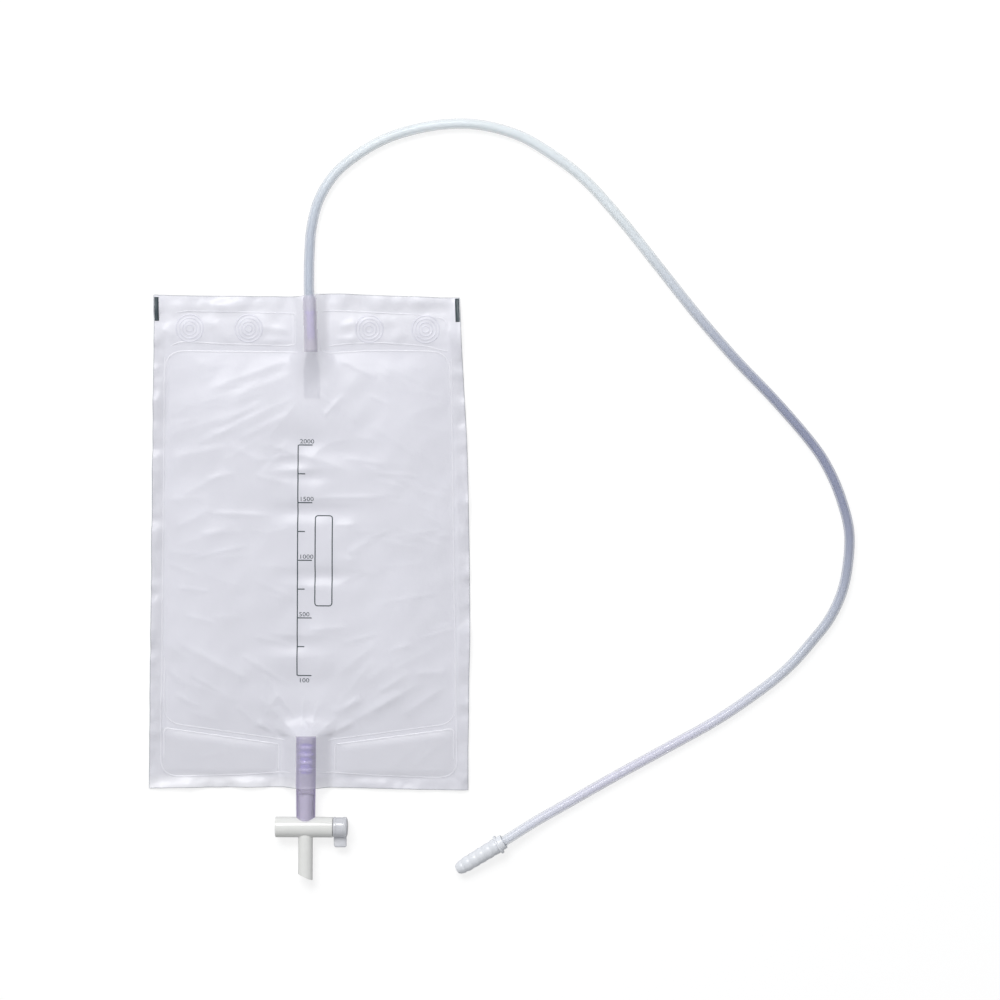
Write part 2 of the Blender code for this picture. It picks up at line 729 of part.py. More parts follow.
def make_connector(paint):
    """A ribbed taper with a blunt nose, a flange and a collar with the tube's socket."""
    length = CONE_LENGTH + FLANGE_THICKNESS + COLLAR_LENGTH
    collar = TUBE_BORE + COLLAR_WALL
    pitch = CONE_LENGTH / CONE_RIBS
    outline = [(TUBE_BORE, length), (collar, length), (collar, CONE_LENGTH + FLANGE_THICKNESS)]
    outline += [(FLANGE_RADIUS, CONE_LENGTH + FLANGE_THICKNESS), (FLANGE_RADIUS, CONE_LENGTH)]
    for place, radius in reversed(rib_crests()):
        outline.append((radius - RIB_STEP, place + 0.25 * pitch))
        outline.append((radius, place))
        if radius > cone_radius(1 / CONE_RIBS):
            outline.append((radius - RIB_STEP / 3, place - 0.40 * pitch))
    outline += [(TIP_RADIUS + NOSE_SWELL, 0.22 * pitch), (TIP_RADIUS - 0.0004, 0.0), (TIP_BORE, 0.0)]
    outline += [(TIP_BORE, length - SOCKET_DEPTH - 0.001), (TUBE_BORE, length - SOCKET_DEPTH)]
    connector = turned("catheter_connector", outline, paint, 24)
    tip, rear = connector_pose()
    connector.rotation_euler = rear.to_track_quat("Z", "Y").to_euler()
    connector.location = tip


def tube_route():
    """The tube's chosen points, from inside the inlet sleeve to inside the connector."""
    route = [Vector((0.0, INLET_TOP_Y - TUBE_GRIP, INLET_Z)), Vector((0.0, INLET_TOP_Y, INLET_Z))]
    for x, y, z in TUBE_TURN_POINTS:
        route.append(Vector((x, y + CENTRE_Y, z)))
    tip, rear = connector_pose()
    length = CONE_LENGTH + FLANGE_THICKNESS + COLLAR_LENGTH
    route.append(tip + rear * (length + 0.002))
    route.append(tip + rear * (length - SOCKET_DEPTH + FIT))
    return route


def smooth_curve(route, count):
    """Points on one smooth curve through the route, evenly spaced between its two straight ends."""
    spaced = [0.0]
    for first, second in zip(route, route[1:]):
        spaced.append(spaced[-1] + (second - first).length)

    def slope(i):
        before = max(i - 1, 0)
        after = min(i + 1, len(route) - 1)
        return (route[after] - route[before]) / (spaced[after] - spaced[before])

    points = [route[0]]
    span = 1
    free = spaced[-2] - spaced[1]
    for n in range(count - 2):
        along = spaced[1] + free * n / (count - 3)
        while span < len(route) - 3 and along > spaced[span + 1]:
            span += 1
        size = spaced[span + 1] - spaced[span]
        t = (along - spaced[span]) / size
        points.append(
            route[span] * (2 * t ** 3 - 3 * t ** 2 + 1)
            + slope(span) * size * (t ** 3 - 2 * t ** 2 + t)
            + route[span + 1] * (3 * t ** 2 - 2 * t ** 3)
            + slope(span + 1) * size * (t ** 3 - t ** 2)
        )
    points.append(route[-1])
    return points


def make_tube(paint):
    curve = bpy.data.curves.new("inlet_tube", "CURVE")
    curve.dimensions = "3D"
    curve.bevel_depth = TUBE_RADIUS
    curve.bevel_resolution = 2
    curve.use_fill_caps = True
    points = smooth_curve(tube_route(), TUBE_POINTS)
    spline = curve.splines.new("POLY")
    spline.points.add(len(points) - 1)
    for spot, point in zip(spline.points, points):
        spot.co = (*point, 1.0)
    thing = bpy.data.objects.new("inlet_tube", curve)
    PARTS.objects.link(thing)
    curve.materials.append(paint)


clear_film = material("clear_film", (0.78, 0.78, 0.85), 0.32, 0.6)
pale_sleeve = material("lavender_sleeve", (0.68, 0.65, 0.83), 0.35, 0.3)
dark_sleeve = material("purple_insert", (0.36, 0.31, 0.66), 0.4)
clear_tube = material("clear_tube", (0.72, 0.76, 0.88), 0.2, 0.7)
white_plastic = material("white_plastic", (0.86, 0.86, 0.84), 0.35)
natural_plastic = material("natural_plastic", (0.80, 0.83, 0.86), 0.3, 0.3)
seal_rubber = material("seal_rubber", (0.08, 0.08, 0.09), 0.6)

make_films(clear_film)
make_inlet_sleeve(pale_sleeve)
make_valve_insert(dark_sleeve)
make_flutter_valve(clear_film)
make_outlet_sleeve(pale_sleeve)
make_outlet_insert(dark_sleeve)
make_tap_body(white_plastic)
make_plunger(natural_plastic, seal_rubber)
make_tube(clear_tube)
make_connector(white_plastic)
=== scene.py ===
"""Looks of the urine drainage bag: films, welds, print, ports, tap, tube and connector, in metres."""

import math
import random

import bpy
import numpy as np
from mathutils import Matrix, Vector
from mathutils.bvhtree import BVHTree


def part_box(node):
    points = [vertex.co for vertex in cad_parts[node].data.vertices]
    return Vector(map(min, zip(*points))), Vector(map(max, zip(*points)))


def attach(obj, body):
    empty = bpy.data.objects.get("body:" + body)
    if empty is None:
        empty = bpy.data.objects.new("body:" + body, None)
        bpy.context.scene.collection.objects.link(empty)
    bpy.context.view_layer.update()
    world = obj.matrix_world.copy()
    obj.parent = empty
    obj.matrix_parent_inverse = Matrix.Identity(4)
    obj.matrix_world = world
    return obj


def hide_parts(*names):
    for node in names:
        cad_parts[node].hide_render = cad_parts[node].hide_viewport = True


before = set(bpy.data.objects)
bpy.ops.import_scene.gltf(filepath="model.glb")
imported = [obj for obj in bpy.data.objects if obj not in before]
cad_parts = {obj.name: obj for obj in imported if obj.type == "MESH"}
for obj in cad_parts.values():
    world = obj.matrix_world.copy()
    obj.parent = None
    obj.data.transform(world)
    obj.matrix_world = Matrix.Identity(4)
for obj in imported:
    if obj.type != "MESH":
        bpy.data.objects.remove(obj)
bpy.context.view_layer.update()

TENTH_MM = 0.0001

# Places and sizes that the parts in model.glb give
FILM_LOW, FILM_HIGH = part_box("front_film")
_, BACK_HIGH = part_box("back_film")
INLET_LOW, INLET_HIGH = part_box("inlet_sleeve")
OUTLET_LOW, OUTLET_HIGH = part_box("outlet_sleeve")
BUSH_LOW, BUSH_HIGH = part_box("valve_insert")
VALVE_LOW, VALVE_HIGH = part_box("flutter_valve")
INSERT_LOW, INSERT_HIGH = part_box("outlet_insert")
TAP_LOW, TAP_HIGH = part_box("tap_body")
PLUNGER_LOW, PLUNGER_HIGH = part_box("tap_plunger")
BOTTOM_Y = FILM_LOW.y
TOP_Y = FILM_HIGH.y
CENTRE_Y = (BOTTOM_Y + TOP_Y) / 2
BAG_HEIGHT = TOP_Y - BOTTOM_Y
FILM = BACK_HIGH.z
INLET_RADIUS = (INLET_HIGH.x - INLET_LOW.x) / 2
INLET_Z = (INLET_HIGH.z + INLET_LOW.z) / 2
OUTLET_RADIUS = (OUTLET_HIGH.x - OUTLET_LOW.x) / 2
OUTLET_Z = (OUTLET_HIGH.z + OUTLET_LOW.z) / 2
HEAD_RADIUS = (PLUNGER_HIGH.z - PLUNGER_LOW.z) / 2
BARREL_RADIUS = (TAP_HIGH.z - TAP_LOW.z) / 2
BARREL_Y = PLUNGER_HIGH.y - HEAD_RADIUS

# The bag's own layout
BAG_TOP_WIDTH = 0.196
BAG_BOTTOM_WIDTH = 2 * FILM_HIGH.x
SIDE_WELD = 0.007
TOP_WELD_Y = TOP_Y - 0.010
BAND_BOTTOM_Y = TOP_WELD_Y - 0.0212
CHAMBER_TOP_Y = BAND_BOTTOM_Y - 0.004
BOTTOM_WELD = 0.0075
FUNNEL_SIDE = 0.0425
FUNNEL_CENTRE = 0.0295
FUNNEL_WELD = 0.0034
POCKET_START = 0.0180
BAND_START = 0.0085
RING_Y = (TOP_WELD_Y + BAND_BOTTOM_Y) / 2
RING_PLACES = (-0.0763, -0.0386, 0.0385, 0.0746)
RING_RADII = (0.0022, 0.0044, 0.0066, 0.0087)

# The inlet's parts lean to one side inside the bag
LEAN_REACH = 0.0023
LEAN_START = 0.004
LEAN_FADE = 0.026

# Camera, straight above the middle of the picture
CAMERA_PLACE = (0.1227, 0.0566, 1.511)
CAMERA_TURN = math.radians(0.3)
LENS = 85.0
SENSOR = 36.0

# Tube
TUBE_RADIUS = 0.0033
TUBE_BORE = 0.0022
TUBE_GRIP = 0.0087
TUBE_STEP = 0.003
TUBE_SIDES = 28
FIT = 0.0003

# Connector, lying on its first rib and its flange
TIP_X = 0.0965
TIP_BELOW_BAG = 0.0507
CONNECTOR_HEADING = math.radians(32.2)
CONE_LENGTH = 0.0306
TIP_RADIUS = 0.0030
CONE_PROFILE = ((0.0, 0.0030), (0.15, 0.0044), (0.34, 0.0048), (1.0, 0.0051))
CONE_RIBS = 6
RIB_STEP = 0.00030
NOSE_SWELL = 0.0004
LIFT = 0.0001
FLANGE_RADIUS = 0.0063
FLANGE_THICKNESS = 0.0013
COLLAR_LENGTH = 0.0033
COLLAR_RADIUS = 0.0047
SOCKET_DEPTH = 0.0080
SOCKET_RADIUS = TUBE_RADIUS + FIT
TIP_BORE = 0.0017

# Route of the tube, as distances from the bag's centre, from the top port to the connector
TUBE_TURN_POINTS = TENTH_MM * np.array((
    (0, 1720, 41), (1, 1819, 36), (14, 2010, 34), (62, 2195, 34), (164, 2359, 34), (311, 2483, 34),
    (478, 2580, 34), (659, 2641, 34), (851, 2676, 34), (1046, 2679, 34), (1238, 2642, 34),
    (1416, 2570, 34), (1731, 2352, 34), (1992, 2072, 34), (2233, 1774, 34), (2473, 1475, 34),
    (2726, 1187, 34), (2992, 911, 34), (3241, 620, 34), (3340, 456, 34), (3412, 278, 34), (3457, 92, 34),
    (3452, -101, 34), (3416, -289, 34), (3337, -464, 34), (3220, -617, 34), (3094, -760, 34),
    (2949, -887, 34), (2636, -1107, 34), (2302, -1296, 34), (1967, -1482, 34), (1635, -1673, 36),
    (1468, -1767, 50),
))


def new_object(name, data):
    thing = bpy.data.objects.new(name, data)
    bpy.context.scene.collection.objects.link(thing)
    return thing


def add_camera():
    data = bpy.data.cameras.new("camera")
    data.lens = LENS
    data.sensor_width = SENSOR
    camera = new_object("camera", data)
    camera.location = CAMERA_PLACE
    camera.rotation_euler = (0.0, 0.0, CAMERA_TURN)
    bpy.context.scene.camera = camera


add_camera()


# Mesh helpers

def mesh_piece(name, verts, faces, angle=35):
    """A smooth-shaded object from plain vertices and faces."""
    mesh = bpy.data.meshes.new(name)
    mesh.from_pydata([tuple(v) for v in verts], [], faces)
    mesh.update()
    return shaded(new_object(name, mesh), angle)


def shaded(thing, angle=35):
    """Smooth shading with edges over an angle kept sharp."""
    thing.data.shade_smooth()
    thing.data.set_sharp_from_angle(angle=math.radians(angle))
    return thing


def finish_piece(thing, paint, body, slot, *replaced):
    """Paints a piece, ties it to its body and hides the solids it stands for."""
    thing.data.materials.clear()
    thing.data.materials.append(paint)
    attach(thing, body)
    if replaced:
        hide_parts(*replaced)
    return thing


def turned(name, outline, steps=64, angle=35):
    """An outline of (radius, height) turned about Z: a closed one, or one with both ends on the axis."""
    verts = []
    rings = []
    for radius, height in outline:
        first = len(verts)
        if radius == 0:
            verts.append((0.0, 0.0, height))
            rings.append([first] * steps)
        else:
            verts += [(x, y, height) for x, y in circle(radius, steps)]
            rings.append(range(first, first + steps))
    if outline[0][0] != 0:
        rings.append(rings[0])
    faces = []
    for one, two in zip(rings, rings[1:]):
        for i in range(steps):
            after = (i + 1) % steps
            face = list(dict.fromkeys([one[i], two[i], two[after], one[after]]))
            if len(face) > 2:
                faces.append(face)
    return mesh_piece(name, verts, faces, angle)


def corner_arc(before, spot, after, size, limit, steps):
    """Points of a soft corner that starts and ends at most a share of the way to its neighbours."""
    reach = min(size, (before - spot).length * limit, (after - spot).length * limit)
    start = spot + (before - spot).normalized() * reach
    end = spot + (after - spot).normalized() * reach
    shares = [n / steps for n in range(steps + 1)]
    return [start * (1 - t) ** 2 + spot * (2 * t * (1 - t)) + end * t ** 2 for t in shares]


def rounded(points, sizes, steps=4):
    """A closed outline with each of its corners rounded by an arc, or kept sharp when its size is 0."""
    made = []
    spots = [Vector(point) for point in points]
    for i, (spot, size) in enumerate(zip(spots, sizes)):
        arc = [spot]
        if size > 0:
            arc = corner_arc(spots[i - 1], spot, spots[(i + 1) % len(spots)], size, 0.45, steps)
        made += [tuple(point) for point in arc]
    return made


def place_along(thing, origin, direction):
    """Bakes a pose into a mesh: its own +Z along a direction, its own origin at a point."""
    turn = Vector(direction).to_track_quat("Z", "Y").to_matrix().to_4x4()
    thing.data.transform(Matrix.Translation(Vector(origin)) @ turn)
    return thing


def distances(points):
    """How far along a line each of its points lies."""
    spaced = [0.0]
    for first, second in zip(points, points[1:]):
        spaced.append(spaced[-1] + (second - first).length)
    return spaced


def heading(points, i, closed_loop=False):
    """The direction of a line at one of its points."""
    count = len(points)
    before = points[(i - 1) % count] if closed_loop or i > 0 else points[i]
    after = points[(i + 1) % count] if closed_loop or i < count - 1 else points[i]
    return (after - before).normalized()


def sweep(points, sections, closed_loop=False):
    """Rings of points along a line: each point's section gives its ring as (side, up) offsets."""
    rings = []
    for i, point in enumerate(points):
        along = heading(points, i, closed_loop)
        side = along.cross(Vector((0, 0, 1))).normalized()
        up = side.cross(along)
        rings.append([point + side * across + up * high for across, high in sections[i]])
    return rings


def loft(rings, closed_loop=False, capped=False, flip=False, first=0):
    """Vertices and faces of a skin through rings of points, its vertices numbered from first."""
    size = len(rings[0])
    rows = [range(first + i * size, first + (i + 1) * size) for i in range(len(rings))]
    pairs = list(zip(rows, rows[1:]))
    if closed_loop:
        pairs.append((rows[-1], rows[0]))
    faces = []
    for one, two in pairs:
        for j in range(size):
            after = (j + 1) % size
            faces.append((one[j], one[after], two[after], two[j]))
    if capped:
        faces += [tuple(reversed(rows[0])), tuple(rows[-1])]
    if flip:
        faces = [tuple(reversed(face)) for face in faces]
    return [point for ring in rings for point in ring], faces


def circle(radius, sides):
    return [
        (radius * math.cos(2 * math.pi * j / sides), radius * math.sin(2 * math.pi * j / sides))
        for j in range(sides)
    ]


def pipe(name, points, outer, inner, sides):
    """A hollow tube along a line, closed by a flat ring at each end."""
    count = len(points) * sides
    verts, faces = loft(sweep(points, [circle(outer, sides)] * len(points)), flip=True)
    inside, bore_faces = loft(sweep(points, [circle(inner, sides)] * len(points)), first=count)
    faces += bore_faces
    for end, order in ((0, 1), (count - sides, -1)):
        for j in range(sides):
            here = end + j
            after = end + (j + 1) % sides
            faces.append((here, after, after + count, here + count)[::order])
    return mesh_piece(name, verts + inside, faces, 60)


# Materials

def new_material(name):
    made = bpy.data.materials.new(name)
    made.use_nodes = True
    tree = made.node_tree
    return made, tree, tree.nodes["Principled BSDF"]


def fill(tree, node, values):
    """Sets a node's inputs, each to a plain value, a colour or another node's output."""
    for key, value in values.items():
        socket = node.inputs[key]
        if isinstance(value, bpy.types.NodeSocket):
            tree.links.new(value, socket)
        elif socket.type == "RGBA":
            socket.default_value = (*value, 1.0)
        else:
            socket.default_value = value


def add_node(tree, kind, values, output=0, **settings):
    """One of the outputs of a new node, whose settings and inputs are set first."""
    node = tree.nodes.new("ShaderNode" + kind)
    for key, value in settings.items():
        setattr(node, key, value)
    fill(tree, node, values)
    return node.outputs[output]


def object_noise(tree, scale, detail=3.0, stretch=(1.0, 1.0, 1.0)):
    """Noise over the piece's own coordinates, which are the row frame's."""
    place = add_node(tree, "TexCoord", {}, "Object")
    stretched = add_node(tree, "Mapping", {"Vector": place, "Scale": stretch})
    return add_node(tree, "TexNoise", {"Vector": stretched, "Scale": scale, "Detail": detail}, "Fac")


def ranged(tree, value, low, high, start=0.3, end=0.7, **settings):
    """A value mapped from one range to another, by default from where noise mostly lies."""
    return add_node(tree, "MapRange", {
        "Value": value, "From Min": start, "From Max": end, "To Min": low, "To Max": high,
    }, **settings)


def mixed_colour(tree, share, first, second):
    return add_node(tree, "Mix", {0: share, 6: first, 7: second}, 2, data_type="RGBA")


def mottled(tree, scale, detail, first, second):
    """Two colours in soft patches."""
    return mixed_colour(tree, ranged(tree, object_noise(tree, scale, detail), 0.0, 1.0), first, second)


def near_place(tree, place, start, end, keep=(1.0, 1.0, 1.0)):
    """1 at a place in the piece's own coordinates, fading to 0 between two distances from it."""
    here = add_node(tree, "TexCoord", {}, "Object")
    flat = add_node(tree, "VectorMath", {0: here, 1: keep}, operation="MULTIPLY")
    apart = add_node(tree, "VectorMath", {0: flat, 1: place}, "Value", operation="DISTANCE")
    return ranged(tree, apart, 1.0, 0.0, start, end, interpolation_type="SMOOTHSTEP")


def zoned(tree, colour, zones):
    """A colour that turns into others near some places."""
    for place, start, end, other, *keep in zones:
        colour = mixed_colour(tree, near_place(tree, place, start, end, *keep), colour, other)
    return colour


def bump(tree, value, strength, distance):
    return add_node(tree, "Bump", {"Height": value, "Strength": strength, "Distance": distance})


def film_material(name, open_colour, weld_colour, alpha, roughness=0.3, zones=()):
    """Soft plastic film: another colour where it is welded, a faint orange peel, and paler zones."""
    made, tree, shader = new_material(name)
    colour = mottled(tree, 28.0, 4.0, tuple(c * 0.955 for c in open_colour), open_colour)
    welded = add_node(tree, "Attribute", {}, "Fac", attribute_name="weld")
    colour = mixed_colour(tree, welded, colour, weld_colour)
    fill(tree, shader, {
        "Base Color": zoned(tree, colour, zones),
        "Alpha": alpha,
        "Roughness": ranged(tree, object_noise(tree, 900.0, 2.0), roughness - 0.04, roughness + 0.05),
        "IOR": 1.46,
        "Specular IOR Level": 0.4,
        "Normal": bump(tree, object_noise(tree, 240.0, 3.0, (1.0, 0.6, 1.0)), 0.25, 0.00012),
        "Coat Weight": 0.10,
        "Coat Roughness": 0.22,
    })
    return made


def clear_material(name, tint, alpha, clearness, density=0.0, roughness=0.06, coat=0.5, zones=()):
    """Clear soft plastic, a little milky, with a tint that may grow with its depth, and other colours near
    given places (painted shade on the tube).
    """
    made, tree, shader = new_material(name)
    colour = mottled(tree, 45.0, 2.0, tuple(c * 0.96 for c in tint), tint)
    fill(tree, shader, {
        "Base Color": zoned(tree, colour, zones),
        "Alpha": alpha,
        "Transmission Weight": clearness,
        "Roughness": ranged(tree, object_noise(tree, 90.0, 2.0), roughness * 0.8, roughness * 1.2),
        "IOR": 1.4,
        "Coat Weight": coat,
        "Coat Roughness": 0.08,
    })
    if density > 0:
        depth = add_node(tree, "VolumeAbsorption", {"Color": DEEP_TINT, "Density": density})
        tree.links.new(depth, tree.nodes["Material Output"].inputs["Volume"])
    return made


def plastic_material(name, colour, second, roughness, scale=120.0, grain=0.06, transmission=0.0):
    """Moulded plastic: a faint mottle of two colours and a fine grain."""
    made, tree, shader = new_material(name)
    fine = object_noise(tree, 1800.0, 2.0)
    fill(tree, shader, {
        "Base Color": mottled(tree, scale, 3.0, colour, second),
        "Roughness": ranged(tree, fine, roughness - 0.05, roughness + 0.05),
        "Normal": bump(tree, fine, grain, 0.00008),
        "Transmission Weight": transmission,
        "IOR": 1.5,
    })
    return made


# Zones of other colours: place, distances where it starts and ends to fade, colour, axes that count
FILM_ZONES = (
    ((0.0, TOP_Y, 0.0), 0.008, 0.040, (0.865, 0.865, 0.935), (0.0, 1.0, 0.0)),
    # Painted light: the lower weld is painted paler on its left side
    ((-0.006, BOTTOM_Y, 0.0), 0.004, 0.012, (0.90, 0.90, 0.95), (0.1, 1.0, 0.0)),
)

# Painted shade along the tube, zone by zone: its run to the connector, its bend and its start
TUBE_SHADE_PLACES = (
    ((0.206, -0.100, 0.003), 0.02, 0.16), ((0.330, 0.088, 0.003), 0.01, 0.21),
    ((0.000, 0.185, 0.003), 0.02, 0.11),
)


def tube_zones(*colours):
    return [(*place, colour) for place, colour in zip(TUBE_SHADE_PLACES, colours)]


# Painted shade: darker lavender along the run, much darker at the bend and greyer at the start; the bore's
# colours are darker still, as painted shade for the tube's core
TUBE_SHADE_ZONES = tube_zones((0.88, 0.88, 0.96), (0.52, 0.55, 0.69), (0.72, 0.76, 0.86))
BORE_SHADE_ZONES = tube_zones((0.72, 0.72, 0.88), (0.12, 0.16, 0.35), (0.50, 0.57, 0.67))
DEEP_TINT = (0.37, 0.285, 0.595)

FRONT_FILM_PAINT = film_material("front_film", (0.78, 0.78, 0.86), (0.71, 0.71, 0.78), 0.70, 0.34, FILM_ZONES)
PORT_FILM_PAINT = film_material("port_film", (0.85, 0.82, 0.98), (0.85, 0.82, 0.98), 0.31, 0.24)
BACK_FILM_PAINT = film_material("back_film", (0.84, 0.84, 0.90), (0.80, 0.80, 0.86), 0.50, 0.36)
VALVE_PAINT = film_material("valve_film", (0.46, 0.46, 0.52), (0.5, 0.5, 0.56), 0.42)
VALVE_NECK_PAINT = film_material("valve_neck", (0.80, 0.78, 0.90), (0.8, 0.78, 0.9), 0.08)
WELD_PAINT = film_material("weld_ridge", (0.94, 0.94, 1.0), (0.94, 0.94, 1.0), 0.72, 0.2)
RING_PAINT = film_material("ring_ridge", (0.92, 0.92, 1.0), (0.92, 0.92, 1.0), 0.62, 0.2)
# Painted shade: the dark grey of the thin line along the bag's outline
EDGE_SHADE_PAINT = film_material("film_edge", (0.40, 0.43, 0.45), (0.40, 0.43, 0.45), 0.80, 0.3)
OUTLET_PAINT = clear_material("lavender_sleeve", (0.87, 0.82, 0.98), 0.33, 0.60, 270.0)
INLET_PAINT = clear_material("pale_sleeve", (0.97, 0.93, 1.0), 0.30, 0.10, 40.0)
TUBE_PAINT = clear_material("clear_tube", (0.93, 0.975, 1.0), 0.46, 0.12, 0.0, 0.2, 0.15, TUBE_SHADE_ZONES)
BORE_PAINT = clear_material("tube_bore", (0.90, 0.96, 1.0), 0.60, 0.0, 0.0, 0.42, 0.0, BORE_SHADE_ZONES)
INSERT_PAINT = plastic_material("purple_insert", (0.33, 0.22, 0.80), (0.29, 0.19, 0.76), 0.12)
WHITE_PAINT = plastic_material("white_plastic", (0.81, 0.815, 0.795), (0.785, 0.79, 0.77), 0.18)
CONNECTOR_PAINT = plastic_material("connector_plastic", (0.78, 0.80, 0.84), (0.74, 0.765, 0.81), 0.30)
NATURAL_PAINT = plastic_material(
    "natural_plastic", (0.80, 0.81, 0.85), (0.76, 0.775, 0.82), 0.12, transmission=0.25,
)
SEAL_PAINT = plastic_material("seal_rubber", (0.035, 0.035, 0.04), (0.05, 0.05, 0.055), 0.55, 300.0, 0.15)
INK_PAINT = plastic_material("ink", (0.045, 0.065, 0.075), (0.07, 0.09, 0.10), 0.45, 500.0)


# The tube and its connector

def rib_crests():
    """Each rib's crest, as its distance from the tip and its radius."""
    steps = range(CONE_RIBS)
    radii = [float(np.interp((i + 1) / CONE_RIBS, *zip(*CONE_PROFILE))) for i in steps]
    return [((i + 0.75) * (CONE_LENGTH / CONE_RIBS), radii[i]) for i in steps]


def connector_pose():
    """The tip's centre and the direction to the rear, with one rib and the flange on the surface."""
    tilt = min(math.atan((FLANGE_RADIUS - r) / (CONE_LENGTH - place)) for place, r in rib_crests())
    flat, rise = math.cos(tilt), math.sin(tilt)
    tip_z = LIFT + FLANGE_RADIUS * flat - CONE_LENGTH * rise
    rear = Vector((math.cos(CONNECTOR_HEADING) * flat, math.sin(CONNECTOR_HEADING) * flat, rise))
    return Vector((TIP_X, BOTTOM_Y - TIP_BELOW_BAG, tip_z)), rear


TIP_PLACE, REAR = connector_pose()
CONNECTOR_LENGTH = CONE_LENGTH + FLANGE_THICKNESS + COLLAR_LENGTH


def tube_route():
    """The tube's chosen points, from inside the inlet sleeve to inside the connector."""
    sleeve = [Vector((0.0, INLET_HIGH.y - grip, INLET_Z)) for grip in (TUBE_GRIP, 0.0)]
    turn = [Vector((x, y + CENTRE_Y, z)) for x, y, z in TUBE_TURN_POINTS]
    socket = [TIP_PLACE + REAR * (CONNECTOR_LENGTH + past) for past in (0.002, FIT - SOCKET_DEPTH)]
    return [*sleeve, *turn, *socket]


def smooth_curve(route, step):
    """Points on one smooth curve through the route, about a step apart."""
    spaced = distances(route)
    last = len(route) - 1
    slopes = []
    for i in range(len(route)):
        before, after = max(i - 1, 0), min(i + 1, last)
        slopes.append((route[after] - route[before]) / (spaced[after] - spaced[before]))
    points = []
    for i in range(last):
        size = spaced[i + 1] - spaced[i]
        parts = max(round(size / step), 1)
        for t in [n / parts for n in range(parts)]:
            points.append(
                route[i] * (2 * t ** 3 - 3 * t ** 2 + 1) + slopes[i] * size * (t ** 3 - 2 * t ** 2 + t)
                + route[i + 1] * (3 * t ** 2 - 2 * t ** 3) + slopes[i + 1] * size * (t ** 3 - t ** 2)
            )
    return [*points, route[-1]]


def make_connector():
    """A ribbed taper with a blunt nose, a flange, a collar and the tube's socket."""
    pitch = CONE_LENGTH / CONE_RIBS
    corners = [(TIP_RADIUS - 0.0004, 0.0), (TIP_RADIUS + NOSE_SWELL, 0.22 * pitch)]
    sizes = [0.0006, 0.0012]
    for place, radius in rib_crests():
        if len(corners) > 2:
            corners.append((radius - RIB_STEP / 3, place - 0.40 * pitch))
            sizes.append(0.0012)
        corners += [(radius, place), (radius - RIB_STEP, place + 0.25 * pitch)]
        sizes += [0.0006, 0.0003]
    outline = rounded([(TIP_BORE, 0.0), *corners], (0.0003, *sizes), 3)
    root = CONE_LENGTH
    outline += rounded(
        [
            (rib_crests()[-1][1] - RIB_STEP, root - 0.0001), (FLANGE_RADIUS, root),
            (FLANGE_RADIUS, root + FLANGE_THICKNESS), (COLLAR_RADIUS, root + FLANGE_THICKNESS),
            (COLLAR_RADIUS, CONNECTOR_LENGTH), (SOCKET_RADIUS, CONNECTOR_LENGTH),
        ],
        (0, 0.0004, 0.0004, 0.0003, 0.0004, 0.0003), 3,
    )
    floor = CONNECTOR_LENGTH - SOCKET_DEPTH
    outline += [(SOCKET_RADIUS, floor), (TIP_BORE, floor - 0.001)]
    thing = turned("catheter_connector_fine", list(reversed(outline)), 64, 50)
    place_along(thing, TIP_PLACE, REAR)
    return finish_piece(thing, CONNECTOR_PAINT, "bag", "white_plastic", "catheter_connector")


def lean(y):
    """How far the inlet's parts lean to the right inside the bag."""
    return LEAN_REACH * (1 - np.exp(-np.clip(TOP_Y + LEAN_START - y, 0.0, None) / LEAN_FADE))


def make_tube(connector):
    """The clear tube, whose bore is painted darker than its outer skin, as painted shade for its core."""
    points = smooth_curve(tube_route(), TUBE_STEP)
    for point in points:
        if point.x < OUTLET_RADIUS:
            point.x += float(lean(point.y))
    tube = pipe("inlet_tube_fine", points, TUBE_RADIUS, TUBE_BORE, TUBE_SIDES)
    finish_piece(tube, TUBE_PAINT, "bag", "clear_tube", "inlet_tube")
    tube.data.materials.append(BORE_PAINT)
    skin_faces = (len(points) - 1) * TUBE_SIDES
    for face in tube.data.polygons[skin_faces:2 * skin_faces]:
        face.material_index = 1


make_tube(make_connector())


# The shape of the films

# Places where the front film sags onto the back one: x, y, half lengths along x and y, share of depth
DENTS = (
    (0.000, 0.0925, 0.013, 0.0060, 0.40), (-0.011, 0.0805, 0.010, 0.0035, 0.30),
    (-0.002, 0.0705, 0.011, 0.0030, 0.25), (-0.002, 0.0487, 0.018, 0.0042, 0.42),
    (0.008, 0.0074, 0.013, 0.0040, 0.40), (-0.006, -0.0166, 0.010, 0.0120, 0.22),
    (-0.008, -0.0362, 0.011, 0.0040, 0.35), (-0.002, -0.0612, 0.020, 0.0075, 0.42),
    (-0.018, 0.0856, 0.011, 0.0035, 0.20), (0.013, 0.0880, 0.010, 0.0050, 0.30),
)

